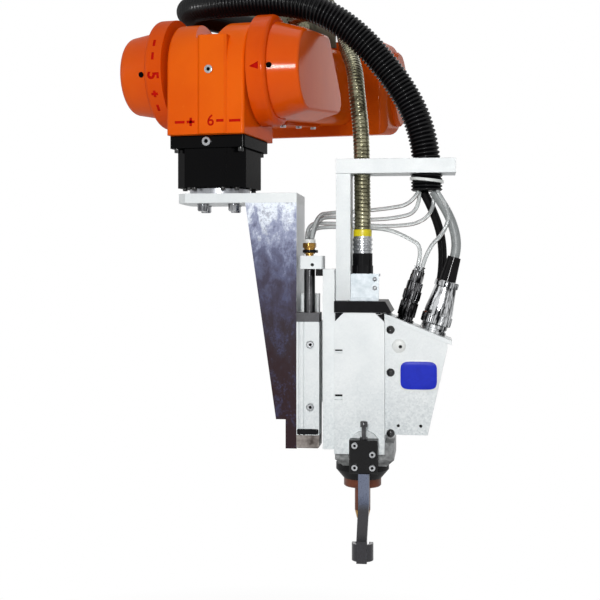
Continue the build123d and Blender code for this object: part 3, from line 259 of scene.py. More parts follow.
def rolled_steel(name, milled_side=False):
    """Hot-rolled plate, mottled by mill scale; its right side may be milled.

    Bright at the top, blue-grey and then brown-black lower down: a painted reflection of the light from
    above, and painted shade lower down.
    """
    made = Finish(name, metal=0.15, level=0.12)
    blotch = made.noise(46.0, 9.0, 0.72, made.stretched((1.0, 1.0, 0.6)), 0.25)
    fine = made.noise(260.0, 6.0, 0.75)
    # Painted reflection at the top and painted shade lower down, set by height and broken up by the
    # mill-scale blotches.
    painted_light_by_height = made.math("ADD", made.height(-0.60, -0.262), made.span(blotch, 0.3, 0.7, -0.2, 0.2))
    stops = (
        (0.20, tone(46, 30, 34)), (0.42, tone(50, 42, 50)), (0.60, tone(64, 60, 78)),
        (0.76, tone(92, 95, 120)), (0.88, tone(146, 152, 176)), (0.98, tone(226, 232, 240)),
    )
    base = made.ramp(painted_light_by_height, stops)
    speckled = made.math("ADD", blotch, made.span(fine, 0.3, 0.7, -0.16, 0.16))
    flecks = made.span(speckled, 0.52, 0.68, 0.0, 0.6)
    scale = made.mixed(flecks, base, tone(70, 72, 104))
    if milled_side:
        turn = made.node("ShaderNodeVectorMath", operation="DOT_PRODUCT")
        made.join(made.node("ShaderNodeTexCoord").outputs["Normal"], turn.inputs[0])
        turn.inputs[1].default_value = TOOL_RIGHT
        milled = made.span(turn.outputs["Value"], 0.7, 0.9, 0.0, 1.0)
        scale = made.mixed(milled, scale, tone(226, 230, 232))
    made.colour(scale)
    made.rough(made.span(blotch, 0.3, 0.7, 0.34, 0.55))
    made.bump(fine, 0.06)
    return made.material


def blasted_metal(name, low_tone):
    """Blasted aluminium or galvanised sheet: pale, with a spangle that shows more towards the lower end."""
    made = Finish(name, metal=0.1, level=0.2)
    cells = made.node("ShaderNodeTexVoronoi", feature="F1")
    cells.inputs["Scale"].default_value = 380.0
    made.join(made.place, cells.inputs["Vector"])
    crystal = made.math("MULTIPLY", cells.outputs["Color"], 0.5)
    spangle = made.math("ADD", crystal, made.math("MULTIPLY", made.noise(160.0, 4.0), 0.5))
    low = made.span(made.height(-0.66, -0.50), 0.0, 1.0, 0.75, 0.12)
    plain = made.ramp(made.noise(18.0, 3.0), ((0.35, tone(222, 226, 227)), (0.65, tone(233, 236, 236))))
    flecked = made.ramp(spangle, ((0.25, low_tone), (0.75, tone(236, 240, 240))))
    made.colour(made.mixed(low, plain, flecked))
    made.rough(made.span(spangle, 0.2, 0.8, 0.44, 0.6))
    made.bump(made.noise(900.0, 2.0), 0.03, 0.8)
    return made.material


def foot_steel():
    """Flat bar with fine drawn lines: a painted highlight, bluish grey, down to its bend, and painted
    shade, dark grey, below.
    """
    made = Finish("foot_steel", metal=0.6)
    lines = made.noise(300.0, 3.0, 0.6, made.stretched((6.0, 6.0, 1.0)))
    # Painted highlight on the bar's upper part and painted shade below its bend, set by height.
    painted_light_by_height = made.math("ADD", made.height(-0.702, -0.672), made.span(lines, 0.3, 0.7, -0.25, 0.25))
    stops = ((0.1, tone(54, 53, 56)), (0.55, tone(84, 91, 110)), (0.95, tone(102, 109, 128)))
    made.colour(made.ramp(painted_light_by_height, stops))
    made.rough(made.span(lines, 0.3, 0.7, 0.24, 0.4))
    made.bump(lines, 0.03, 1.2)
    return made.material


def clear_tube():
    """Clear hose: a see-through, faintly milky skin, with painted shade where its wall is seen edge-on."""
    made = Finish("clear_tube")
    made.shader.inputs["Transmission Weight"].default_value = 0.55
    made.shader.inputs["IOR"].default_value = 1.4
    milk = made.noise(90.0, 3.0)
    wall = made.node("ShaderNodeLayerWeight")
    wall.inputs["Blend"].default_value = 0.35
    body = made.ramp(milk, ((0.3, tone(206, 210, 210)), (0.7, tone(230, 233, 233))))
    # Painted shade along the hose's edges, darker the more its wall is seen edge-on.
    painted_dark_rim = made.span(wall.outputs["Facing"], 0.15, 0.7, 0.0, 1.0)
    made.colour(made.mixed(painted_dark_rim, body, tone(96, 99, 100)))
    made.rough(made.span(milk, 0.3, 0.7, 0.10, 0.22))
    return made.material


ORANGE = enamel("orange_enamel", tone(238, 100, 9), tone(230, 90, 6), tone(242, 126, 40))
COVER_ORANGE = enamel("cover_enamel", tone(230, 90, 5), tone(222, 81, 4), tone(236, 112, 30), 0.24)
RING_ORANGE = enamel("ring_enamel", tone(226, 84, 7), tone(216, 75, 6), tone(232, 106, 34))
FOREARM_ORANGE = enamel("forearm_enamel", tone(222, 90, 12), tone(210, 84, 14), tone(226, 116, 48), 0.12)
GEAR_BLACK = enamel("gearbox_enamel", tone(8, 8, 9), tone(5, 5, 6), tone(26, 26, 28), 0.12, edge=3.5)
CARRIER_GREY = enamel(
    "carrier_enamel", tone(126, 126, 112), tone(110, 110, 96), tone(150, 150, 138), 0.15, (0.4, 0.55),
)
ROLLED_STEEL = rolled_steel("rolled_steel")
MILLED_STEEL = rolled_steel("milled_steel", True)
ALUMINIUM = blasted_metal("blasted_aluminium", tone(188, 196, 199))
GALVANISED = blasted_metal("galvanised_sheet", tone(150, 160, 165))
CAST_GREY = worked_metal("cast_grey", tone(142, 144, 144), tone(60, 61, 62), 0.3, (0.36, 0.5), grain=140.0)
TURNED_STEEL = worked_metal(
    "turned_steel", tone(190, 192, 194), tone(132, 134, 138), 0.85, (0.2, 0.36), (1.0, 1.0, 9.0),
)
GROUND_STEEL = worked_metal(
    "ground_steel", tone(176, 178, 182), tone(128, 130, 136), 0.7, (0.26, 0.42), (9.0, 1.0, 1.0),
)
ZINC = worked_metal("zinc_plate", tone(204, 210, 214), tone(156, 166, 172), 0.3, (0.38, 0.5), grain=90.0)
# The plugs' chrome: strong dark and bright streaks along each plug's axis are painted reflections.
PLUG_TURN = (0.0, LEAN, TURN)
PLUG_CHROME = worked_metal(
    "plug_chrome", tone(206, 208, 210), tone(26, 27, 29), 1.0, (0.14, 0.24), (9.0, 9.0, 0.8), 34.0,
    PLUG_TURN, 0.01, (0.46, 0.57),
)
PLUG_DARK = worked_metal(
    "plug_dark", tone(126, 126, 128), tone(9, 9, 10), 0.95, (0.14, 0.24), (9.0, 9.0, 0.8), 44.0,
    PLUG_TURN, 0.01, (0.48, 0.6),
)
# Chrome with dark and bright streaks drawn out one way: painted reflections. Dark chrome's low tone is a
# painted dark reflection as well.
CHROME = worked_metal(
    "chrome_plate", tone(172, 174, 177), tone(72, 73, 76), 1.0, (0.16, 0.26), (7.0, 7.0, 1.0), 60.0,
    relief=0.01,
)
DARK_CHROME = worked_metal(
    "dark_chrome", tone(96, 96, 98), tone(20, 20, 22), 0.95, (0.14, 0.24), (7.0, 7.0, 1.0), 60.0,
    relief=0.01,
)
DARK_STEEL = worked_metal(
    "dark_steel", tone(70, 70, 72), tone(42, 42, 44), 0.7, (0.3, 0.42), (9.0, 1.0, 1.0),
)
STOP_STEEL = worked_metal("stop_steel", tone(150, 143, 138), tone(62, 54, 50), 0.6, (0.3, 0.42), grain=90.0)
FOOT_STEEL = foot_steel()
BRASS = worked_metal(
    "turned_brass", tone(178, 138, 70), tone(128, 94, 44), 0.85, (0.2, 0.34), (1.0, 1.0, 8.0),
)
HOSE_STEEL = worked_metal(
    "wound_steel", tone(150, 147, 122), tone(70, 67, 50), 0.85, (0.2, 0.32), grain=120.0,
)
# Black plastic; the same finish draws the painted shade behind the front cover.
BLACK_PLASTIC_AND_SLOT_SHADE = moulded(
    "black_plastic", tone(14, 14, 16), tone(24, 24, 27), (0.3, 0.42), level=0.0, coat=0.25,
)
CONDUIT_BLACK = moulded(
    "conduit_black", tone(8, 8, 10), tone(14, 14, 16), (0.4, 0.5), 0.02, 300.0, 0.0, 0.4, 0.24,
)
RUBBER_BLACK = moulded(
    "cable_rubber", tone(18, 17, 18), tone(28, 26, 28), (0.36, 0.5), level=0.0, coat=0.15,
)
RUBBER_GREY = moulded("grey_rubber", tone(146, 150, 150), tone(124, 128, 128), (0.38, 0.5))
WHITE_PLASTIC = moulded("white_plastic", tone(228, 230, 228), tone(212, 214, 212), (0.35, 0.45))
BROWN_INSULATOR = moulded("brown_insulator", tone(114, 62, 42), tone(84, 48, 36), (0.34, 0.5), level=0.2)
YELLOW_BAND = moulded("yellow_band", tone(232, 214, 20), tone(210, 190, 14), (0.3, 0.4))
RED_MARK = moulded("red_mark", tone(196, 22, 14), tone(178, 18, 12), (0.4, 0.5), level=0.0)
BLUE_LABEL = moulded("blue_label", tone(38, 52, 194), tone(32, 44, 176), (0.3, 0.4), level=0.1)
# Black oxide; the same finish draws the painted shade of the pin holes.
BLACK_OXIDE_AND_HOLE_SHADE = moulded("black_oxide_and_hole_shade", tone(16, 16, 17), tone(26, 26, 27), (0.3, 0.42), level=0.0, coat=0.4)
DOME_STEEL = moulded(
    "dome_steel", tone(14, 14, 15), tone(26, 26, 27), (0.3, 0.4), level=0.0, coat=1.0, coat_rough=0.22,
)
# Black screws; the same finish draws the painted shade in screw sockets.
SCREW_BLACK_AND_SOCKET_SHADE = moulded("screw_black_and_socket_shade", tone(11, 11, 12), tone(20, 20, 21), (0.4, 0.5), level=0.0)
CLEAR_TUBE = clear_tube()

NODE_FINISHES = {
    ORANGE: "wrist_housing",
    COVER_ORANGE: "left_cover right_cover",
    RING_ORANGE: "left_fork right_fork",
    FOREARM_ORANGE: "elbow_housing forearm_casting forearm_cover",
    GEAR_BLACK: "gearbox_block gearbox_body",
    CARRIER_GREY: "line_carrier",
    ROLLED_STEEL: "front_gusset rear_gusset",
    STOP_STEEL: "stop_block",
    ALUMINIUM: "tool_plate cylinder_body rod_block carriage_plate cable_post cable_arm head_housing"
    " front_cover connector_lid guide_rail guide_carriage",
    GALVANISED: "connector_box foot_mount",
    CAST_GREY: "nose_block",
    MILLED_STEEL: "hanger_plate",
    GROUND_STEEL: "elbow_flange flange_disc",
    ZINC: "gland_bracket",
    DARK_CHROME: "piston_rod",
    TURNED_STEEL: "hose_ferrule",
    BLACK_OXIDE_AND_HOLE_SHADE: "rod_link foot_clamp",
    FOOT_STEEL: "support_foot",
    DARK_STEEL: "cylinder_head",
    BRASS: "hose_fitting chuck_tip",
    BLACK_PLASTIC_AND_SLOT_SHADE: "head_top_plate nose_cone hose_gland",
    WHITE_PLASTIC: "fitting_collar",
    BROWN_INSULATOR: "insulator chuck_tube",
    RUBBER_BLACK: "connector_boot",
}
for material, names in NODE_FINISHES.items():
    for name in names.split():
        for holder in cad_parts[name].material_slots:
            holder.link = "OBJECT"
            holder.material = material


# Surfaces

def grid_patch(points, around=False):
    """Four-sided faces over a grid of points; around closes the second direction on itself."""
    rows, columns = points.shape[:2]
    row = np.arange(rows - 1)[:, None] * columns
    column = np.arange(columns if around else columns - 1)[None, :]
    after = (column + 1) % columns
    faces = np.stack((row + column, row + after, row + columns + after, row + columns + column), -1)
    return points.reshape(-1, 3), faces.reshape(-1, 4)


def turned(profile, sides=24, six=(), ripples=None):
    """Each row (radius, height) taken once round the axis.

    Rows in six follow a hexagon; ripples (count, depth, rows) adds a wave to those rows' radius.
    """
    rows = np.asarray(profile, float)
    turn = np.linspace(0.0, 2.0 * np.pi, sides, endpoint=False)
    hexagon = np.cos(np.pi / 6) / np.cos(turn % (np.pi / 3) - np.pi / 6)
    reach = rows[:, :1] * np.where(np.isin(np.arange(len(rows)), six)[:, None], hexagon, 1.0)
    if ripples is not None:
        count, depth, which = ripples
        reach = reach + depth * np.isin(np.arange(len(rows)), which)[:, None] * np.cos(count * turn)
    height = rows[:, 1:] + 0.0 * turn
    return grid_patch(np.stack((reach * np.cos(turn), reach * np.sin(turn), height), -1), True)


def seated(patch, spot, axis):
    """A patch drawn in mm on its own axis, moved to a spot in metres, the axis along a direction."""
    ahead = np.asarray(axis, float) / np.linalg.norm(axis)
    side = np.cross(ahead, UP if abs(ahead[2]) < 0.9 else ACROSS)
    side = side / np.linalg.norm(side)
    points, faces = patch
    return np.asarray(spot) + MM * points @ np.array((side, np.cross(ahead, side), ahead)), faces


def piece(name, body, material, patches, sharp=38.0, sheet=0.0):
    """One object from several patches: joined, facing outwards, smooth but for its sharp edges.

    A sheet keeps the way its patches face and gets a thickness in mm.
    """
    counts = np.cumsum([0] + [len(points) for points, _ in patches])
    points = np.concatenate([points for points, _ in patches])
    faces = []
    for (_, corners), start in zip(patches, counts):
        faces += (np.asarray(corners) + start).tolist()
    mesh = bpy.data.meshes.new(name)
    mesh.from_pydata(points.tolist(), [], faces)
    shape = bmesh.new()
    shape.from_mesh(mesh)
    bmesh.ops.remove_doubles(shape, verts=shape.verts, dist=2e-7)
    bmesh.ops.dissolve_degenerate(shape, edges=shape.edges, dist=1e-8)
    if not sheet:
        bmesh.ops.recalc_face_normals(shape, faces=shape.faces)
    shape.to_mesh(mesh)
    shape.free()
    mesh.polygons.foreach_set("use_smooth", np.ones(len(mesh.polygons), bool))
    mesh.set_sharp_from_angle(angle=math.radians(sharp))
    made = bpy.data.objects.new(name, mesh)
    bpy.context.scene.collection.objects.link(made)
    made.data.materials.append(material)
    if sheet:
        made.modifiers.new("thickness", "SOLIDIFY").thickness = sheet * MM
    if body:
        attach(made, body)
    return made


# Lines: one smooth curve each, drawn by the points of its route

def route_curve(name, route, resolution=24):
    """NURBS curve of order three whose control points are the route's points."""
    curve = bpy.data.curves.new(name, "CURVE")
    curve.dimensions = "3D"
    curve.resolution_u = resolution
    spline = curve.splines.new("NURBS")
    spline.points.add(len(route) - 1)
    spline.points.foreach_set("co", np.c_[route, np.ones(len(route))].ravel())
    spline.order_u = 3
    spline.use_endpoint_u = True
    return curve


def route_line(name, route):
    """Points along a route's curve, read from Blender, with the length at each."""
    curve = route_curve(name, route, 60)
    holder = bpy.data.objects.new(name, curve)
    mesh = bpy.data.meshes.new_from_object(holder)
    line = np.empty(len(mesh.vertices) * 3)
    mesh.vertices.foreach_get("co", line)
    bpy.data.meshes.remove(mesh)
    bpy.data.curves.remove(curve)
    line = line.reshape(-1, 3)
    return line, np.r_[0.0, np.cumsum(np.linalg.norm(np.diff(line, axis=0), axis=1))]


def stations(line, along, first, last, step):
    """Even points on the line from one length to another, with two sides square to the line at each.

    The first side is square to a fixed direction too, one that neither large line follows.
    """
    at = np.linspace(first, last, int(round((last - first) / step)) + 1)
    spots = np.stack([np.interp(at, along, line[:, k]) for k in range(3)], -1)
    ahead = np.gradient(spots, axis=0)
    ahead = ahead / np.linalg.norm(ahead, axis=1)[:, None]
    unfollowed = np.array((0.35, 0.85, 0.4))
    side = np.cross(ahead, unfollowed)
    side = side / np.linalg.norm(side, axis=1)[:, None]
    return at, spots, side, np.cross(ahead, side)


def swept(spots, side, other, radius):
    """A tube: at every station a ring of points, each as far out as radius says for it."""
    turn = np.linspace(0.0, 2.0 * np.pi, radius.shape[1], endpoint=False)
    ring = side[:, None] * np.cos(turn)[None, :, None] + other[:, None] * np.sin(turn)[None, :, None]
    return grid_patch(spots[:, None] + ring * radius[..., None], True)


def ribbed_radius(at, outer, depth, pitch, sides):
    """Corrugated tube: the radius swings between crest and groove once a pitch, with broad crests."""
    swing = 0.5 - 0.5 * np.cos(2.0 * np.pi * at / pitch)
    return np.repeat((outer - depth * swing ** 1.6)[:, None], sides, 1) * MM


def wound_radius(at, outer, depth, pitch, sides):
    """Wound strip: a sloped band that climbs one pitch a turn and drops back at its edge."""
    turn = np.arange(sides)[None, :] / sides
    phase = (at[:, None] / pitch + turn) % 1.0
    slope = 1.0 - 0.35 * phase / 0.8
    groove = 1.0 - 0.35 - 0.65 * np.sin(np.pi * (phase - 0.8) / 0.2)
    band = np.where(phase < 0.8, slope, groove)
    return (outer - depth * (1.0 - band)) * MM


CONDUIT_ROUTE = np.concatenate((
    in_tool(((308, 0, -154), (308, 0, -110))),
    in_wrist(((274, 42, -30), (192, 28, 70), (100, 18, 112), (-116, 72, 118))),
    in_arm(((-68, 300, 107), (-68, 430, 107))),
))
HOSE_ROUTE = np.concatenate((
    in_tool(((214, 0, -245), (214, 0, -110))),
    in_wrist(((203, 33, -35), (194, 58, 10), (172, 95, 50), (158, 130, 95), (80, 200, 132))),
    in_arm(((22, 300, 107), (22, 430, 107))),
))


# Radius, depth of the relief and pitch in mm, then the sides, of the two large lines
CONDUIT_RADIUS, CONDUIT_DEPTH, CONDUIT_PITCH, CONDUIT_SIDES = 21.0, 3.0, 6.0, 36
HOSE_RADIUS, HOSE_DEPTH, HOSE_PITCH, HOSE_SIDES = 12.3, 1.5, 5.6, 32
SLEEVE_RADIUS = 20.2
# Lengths along the two lines, in metres, where their stretches meet and where the sleeve ends
CONDUIT_SPLIT, SLEEVE_END = 0.255, 0.054
HOSE_FIRST_SPLIT, HOSE_SECOND_SPLIT = 0.112, 0.264


def conduit_part(name, first, last, body=None, outer=CONDUIT_RADIUS):
    """A stretch of the ribbed conduit between two lengths along its line."""
    at, spots, side, other = stations(conduit_line, conduit_along, first, last, 0.00075)
    radius = ribbed_radius(at / MM, outer, CONDUIT_DEPTH, CONDUIT_PITCH, CONDUIT_SIDES)
    made = piece(name, body, CONDUIT_BLACK, [swept(spots, side, other, radius)], 80.0)
    return made, spots


conduit_line, conduit_along = route_line("conduit_route", CONDUIT_ROUTE)
conduit_end = conduit_along[-1]
conduit_front, front_spots = conduit_part("conduit_front", 0.0, CONDUIT_SPLIT)
conduit_rear, rear_spots = conduit_part("conduit_rear", CONDUIT_SPLIT, conduit_end)
conduit_sleeve, _ = conduit_part("conduit_sleeve", 0.0, SLEEVE_END, "weld_head", SLEEVE_RADIUS)
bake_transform(conduit_front)
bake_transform(conduit_rear)
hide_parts("black_conduit")


def hose_part(name, first, last):
    """A stretch of the wound metal hose between two lengths along its line."""
    at, spots, side, other = stations(hose_line, hose_along, first, last, 0.0007)
    radius = wound_radius(at / MM, HOSE_RADIUS, HOSE_DEPTH, HOSE_PITCH, HOSE_SIDES)
    made = piece(name, None, HOSE_STEEL, [swept(spots, side, other, radius)], 60.0)
    return made, spots


hose_line, hose_along = route_line("hose_route", HOSE_ROUTE)
hose_end = hose_along[-1]
hose_low, low_spots = hose_part("hose_low", 0.0, HOSE_FIRST_SPLIT)
hose_middle, middle_spots = hose_part("hose_middle", HOSE_FIRST_SPLIT, HOSE_SECOND_SPLIT)
hose_rear, hose_rear_spots = hose_part("hose_rear", HOSE_SECOND_SPLIT, hose_end)
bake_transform(hose_low)
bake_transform(hose_middle)
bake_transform(hose_rear)
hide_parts("metal_hose")


def line_on_head(name, route, radius, material):
    """A small line that rides on the welding head: a round tube on its route's curve."""
    curve = route_curve(name + "_line", route)
    curve.bevel_depth = radius * MM
    curve.bevel_resolution = 5
    curve.use_fill_caps = True
    curve.materials.append(material)
    made = bpy.data.objects.new(name + "_line", curve)
    bpy.context.scene.collection.objects.link(made)
    length = float(route_line(name, route)[1][-1])
    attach(made, "weld_head")
    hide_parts(name)


SMALL_PLUG_SPOT = lid_point(276, -14)
LARGE_PLUG_SPOT = lid_point(317, -6)
small_top = SMALL_PLUG_SPOT + LEANING * 80 * MM
fourth_end = small_top - LEAN_ACROSS * 3.4 * MM
signal_end = small_top + LEAN_ACROSS * 3.4 * MM
grey_end = LARGE_PLUG_SPOT + LEANING * 113 * MM
LID_NORMAL = (UP + TOOL_RIGHT * LID_SLOPE) / np.hypot(1.0, LID_SLOPE)
black_end = lid_point(306, 25) + LID_NORMAL * 14 * MM
FIRST_AIR = in_tool((
    (297, -10, -179), (286, -3, -198), (252, 22, -203), (206, 41, -206), (168, 34, -208), (146, -24, -214),
    (142.3, -36.3, -250),
))
SECOND_AIR = in_tool((
    (297, 6, -179), (298, 9, -209), (258, 30, -218), (206, 48, -219), (166, 42, -213.5), (147, -15, -220),
    (142.3, -29.7, -250),
))
THIRD_AIR = in_tool((
    (318, 14, -179), (320, 11, -203), (299, 20, -226), (252, 43, -229), (206, 58, -226), (159, 50, -223.5),
    (132.5, -16, -226), (135.7, -36.3, -250),
))
FOURTH_AIR = np.concatenate((
    in_tool((
        (135.7, -29.7, -250), (137, -8, -234), (165, 36, -229), (206, 42, -231), (250, 30, -233),
        (281, 7, -247),
    )),
    (fourth_end + LEANING * 30 * MM, fourth_end),
))
SIGNAL = np.concatenate((
    in_tool(((323, -12, -179), (343, -15, -208), (334, -18, -240))),
    (signal_end + LEANING * 30 * MM, signal_end),
))
GREY = np.concatenate((in_tool(((318, 3, -179),)), (grey_end + LEANING * 42 * MM, grey_end)))
BLACK = np.concatenate((
    in_tool(((303, 15.5, -179), (321, 26, -212), (333, 26, -262))),
    (black_end + LID_NORMAL * 45 * MM, black_end),
))
CLEAR_LINES = {
    "first_air_hose": FIRST_AIR, "second_air_hose": SECOND_AIR, "third_air_hose": THIRD_AIR,
    "fourth_air_hose": FOURTH_AIR, "signal_hose": SIGNAL,
}
for name, route in CLEAR_LINES.items():
    line_on_head(name, route, 3.0, CLEAR_TUBE)
line_on_head("grey_cable", GREY, 7.0, RUBBER_GREY)
line_on_head("black_cable", BLACK, 6.5, RUBBER_BLACK)


# Screws

def cap_screw(radius, height):
    """Socket cap screw: a round head with a bevelled rim and a six-sided socket."""
    key = radius * 0.52
    rows = (
        (0, height * 0.4), (key, height * 0.4), (key, height), (radius * 0.9, height),
        (radius, height * 0.86), (radius, 0), (0, 0),
    )
    return turned(rows, 24, (1, 2))


def button_screw(radius, height):
    """Button screw: a low dome that falls from the socket's rim to the edge along an ellipse."""
    key = radius * 0.26
    fall = np.radians((13.0, 26.0, 40.0, 56.0, 72.0, 90.0))
    dome = [(radius * np.sin(a), height * np.cos(a)) for a in fall]
    socket = ((0, height * 0.35), (key, height * 0.35), (key, height * 0.97))
    return turned([*socket, *dome, (0, -0.2)], 24, (1, 2))


def hex_bolt(radius, height):
    """Hexagon bolt head with a turned-down crown, on a round washer face."""
    rows = (
        (0, height), (radius * 0.82, height), (radius, height * 0.86), (radius, height * 0.14),
        (radius * 1.1, height * 0.14), (radius * 1.1, 0), (0, 0),
    )
    return turned(rows, 24, (2, 3))


def pin_hole(radius):
    """A small dark dish with a rim, almost flush: painted shade in place of the hole."""
    return turned(((0, 0.15), (radius * 0.7, 0.15), (radius, 0.3), (radius * 1.15, 0.0), (0, -0.2)), 16)


def socket_floor(radius, height):
    """Painted shade in a screw's six-sided socket: a dark disc just above its floor."""
    key = radius * 0.5
    rows = ((0, height * 0.46), (key, height * 0.46), (key, height * 0.38), (0, height * 0.38))
    return turned(rows, 24, (1, 2))


DOWN = -UP
FRONT, TOOL_FRONT = -WRIST_BACK, -TOOL_BACK
HOUSING_SCREW = in_wrist((10.0, -76.1, -7.0))
GEARBOX_SCREW = in_wrist((0.5, -58.0, -108.0))
CYLINDER_SCREWS = in_tool(((142, -48.2, -402), (142, -48.2, -492)))
CLAMP_SCREWS = in_tool(((209, -92, -539), (233.5, -92, -551), (209, -92, -569.5), (233.5, -92, -569.5)))
ADJUSTING_SCREW = (
    (0, 24), (2.4, 24), (2.4, 25.5), (4.4, 25.5), (5.2, 24.4), (5.2, 17.5), (3.2, 17.0), (3.2, 3.6),
    (5.6, 3.6), (5.6, 0), (0, 0),
)
piece("housing_screw", "wrist", TURNED_STEEL, [
    seated(cap_screw(6.0, 2.6), HOUSING_SCREW, FRONT),
])
piece("gearbox_screw", "wrist", TURNED_STEEL, [
    seated(cap_screw(6.6, 4.0), GEARBOX_SCREW, FRONT),
])
piece("gearbox_corner_screws", "wrist", DOME_STEEL, [
    *(seated(cap_screw(4.2, 6.0), in_wrist((x, y, -117.0)), DOWN) for x in (-49, 49) for y in (-49, 49)),
    *(
        seated(cap_screw(3.6, 4.5), in_wrist((x, y, -174.0)), DOWN)
        for x, reach in ((-40, 40), (-22, 49), (22, 49), (40, 40)) for y in (-reach, reach)
    ),
])
piece("side_cover_screws", "forearm", SCREW_BLACK_AND_SOCKET_SHADE, [
    seated(cap_screw(4.0, 1.2), in_wrist((-99.5, -64.4, -8.0)), (-0.17, -1.0, -0.12)),
    seated(cap_screw(4.2, 1.2), in_wrist((98.0, -69.9, -4.0)), (0.27, -1.0, -0.05)),
])
piece("cover_screws", "forearm", TURNED_STEEL, [
    seated(cap_screw(5.0, 4.0), in_arm((x, back, -75.0)), -ARM_UP)
    for x in (-42, 42) for back in (186, 283, 382)
])
piece("plate_bolts", "tool_mount", CHROME, [
    seated(hex_bolt(8.0, 11.0), in_tool((x, y, -197.0)), DOWN)
    for x, y in ((-20, -28), (26, -28), (-27, 28), (19, 28))
])
piece("cylinder_screws", "tool_mount", TURNED_STEEL, [
    seated(cap_screw(4.7, 3.4), spot, TOOL_FRONT) for spot in CYLINDER_SCREWS
])
piece("box_screws", "weld_head", DOME_STEEL, [
    seated(button_screw(6.0, 4.2), in_tool((257, -46.0, z)), TOOL_FRONT) for z in (-380, -441, -528)
])
piece("bracket_screws", "weld_head", TURNED_STEEL, [
    seated(button_screw(3.4, 2.0), in_tool((233, -20.0, z)), TOOL_FRONT) for z in (-308, -321)
])
piece("clamp_screws", "weld_head", TURNED_STEEL, [
    seated(cap_screw(4.4, 4.5), spot, TOOL_FRONT) for spot in CLAMP_SCREWS
])
piece("adjusting_screw", "weld_head", DARK_CHROME, [
    seated(turned(ADJUSTING_SCREW, 24, (1, 2, 8, 9)), in_tool((221, -80, -532)), UP),
])
# Dark discs in the screws' sockets: painted shade.
piece("housing_sockets", "wrist", SCREW_BLACK_AND_SOCKET_SHADE, [
    seated(socket_floor(6.0, 2.6), HOUSING_SCREW, FRONT),
    seated(socket_floor(6.6, 4.0), GEARBOX_SCREW, FRONT),
])
piece("cylinder_sockets", "tool_mount", SCREW_BLACK_AND_SOCKET_SHADE, [
    seated(socket_floor(4.7, 3.4), spot, TOOL_FRONT) for spot in CYLINDER_SCREWS
])
piece("clamp_sockets", "weld_head", SCREW_BLACK_AND_SOCKET_SHADE, [
    seated(socket_floor(4.4, 4.5), spot, TOOL_FRONT) for spot in CLAMP_SCREWS
])


# Nut and clip on the brass fitting, and the pin holes

def hose_clip():
    """A spring clip: a flat strip bent three quarters of the way round, with a turned-out lip."""
    turn = np.linspace(np.radians(50.0), np.radians(320.0), 40)
    reach = 9.4 + 5.0 * np.clip((turn - np.radians(285.0)) / np.radians(35.0), 0.0, 1.0) ** 2
    across = np.linspace(0.0, 2.0 * np.pi, 12, endpoint=False)
    out = reach[:, None] + 0.7 * np.cos(across)
    height = -267.4 + 2.2 * np.sin(across) + 0.0 * turn[:, None]
    points = np.stack((out * np.cos(turn)[:, None], out * np.sin(turn)[:, None], height), -1)
    ends = points.mean(1, keepdims=True).repeat(12, 1)
    return grid_patch(np.concatenate((ends[:1], points, ends[-1:])), True)


FITTING_AXIS = in_tool((139, -33, 0))
FITTING_NUT = (
    (8.3, -255.4), (9.6, -255.4), (10.2, -256.2), (10.2, -261.6), (9.6, -262.4), (8.0, -262.4),
    (7.8, -262.0), (8.3, -255.4),
)
piece("fitting_nut", "weld_head", BRASS, [
    seated(turned(FITTING_NUT, 48, (2, 3)), FITTING_AXIS, UP),
])
piece("fitting_clip", "weld_head", BLACK_PLASTIC_AND_SLOT_SHADE, [
    seated(hose_clip(), FITTING_AXIS, UP),
], 50.0)
# Dark dishes at the head's pin holes: painted shade.
piece("pin_holes", "weld_head", BLACK_OXIDE_AND_HOLE_SHADE, [
    *(seated(pin_hole(2.0), in_tool((x, -46.0, -517)), TOOL_FRONT) for x in (268, 300)),
    seated(pin_hole(2.2), in_tool((271, -48.3, -404)), TOOL_FRONT),
    seated(pin_hole(2.2), in_tool((145, -52.0, -287)), TOOL_FRONT),
])


# Marks in paint and the blank label

MARK_STEPS, PLATE_SIDES = 6, 72


def flat_mark(width, height):
    """An upright rectangle as a grid, its middle at nought."""
    sides = (np.linspace(-reach / 2, reach / 2, MARK_STEPS) for reach in (width, height))
    across, up = np.meshgrid(*sides)
    return grid_patch(np.stack((across, up, 0.0 * up), -1))


def digit(text, height, weight):
    """A plain number as a flat mesh, its strokes widened by the weight, its middle at nought."""
    curve = bpy.data.curves.new("number", "FONT")
    curve.body = text
    curve.size = height * 1.4
    curve.offset = weight
    holder = bpy.data.objects.new("number", curve)
    mesh = bpy.data.meshes.new_from_object(holder)
    points = np.empty(len(mesh.vertices) * 3)
    mesh.vertices.foreach_get("co", points)
    points = points.reshape(-1, 3)
    faces = [tuple(face.vertices) for face in mesh.polygons]
    bpy.data.meshes.remove(mesh)
    bpy.data.curves.remove(curve)
    return points - (points.max(0) + points.min(0)) / 2, faces


def moved(patch, across, up, quarter=0):
    """A flat mark shifted on its sheet, after quarter turns."""
    points, faces = patch
    x, y = points[:, 0], points[:, 1]
    for _ in range(quarter):
        x, y = y, -x
    return np.stack((x + across, y + up, 0.0 * x), -1), faces


def on_ring(patch, across, radius):
    """A flat mark bent round the wrist axis: its height becomes an angle, nought facing forward."""
    points, faces = patch
    angle = points[:, 1] / radius
    bent = np.stack((across + points[:, 0], -radius * np.cos(angle), radius * np.sin(angle)), -1)
    return in_wrist(bent), faces


def on_front(patch, back):
    """A flat mark on an upright face that looks forward."""
    points, faces = patch
    return in_wrist(np.stack((points[:, 0], np.full(len(points), back), points[:, 1]), -1)), faces


RING_FACE = 81.75
STROKE = 3.8
TRIANGLE = np.array(((-7.0, -0.8, 0.0), (6.5, -5.5, 0.0), (6.5, 5.5, 0.0)))
MARK_HEIGHT, SIDE_FACE, MIDDLE_FACE = -81.0, -72.3, -76.3


def ring_height(degrees):
    """Height on a ring mark's sheet for an angle above straight ahead."""
    return np.radians(degrees) * RING_FACE


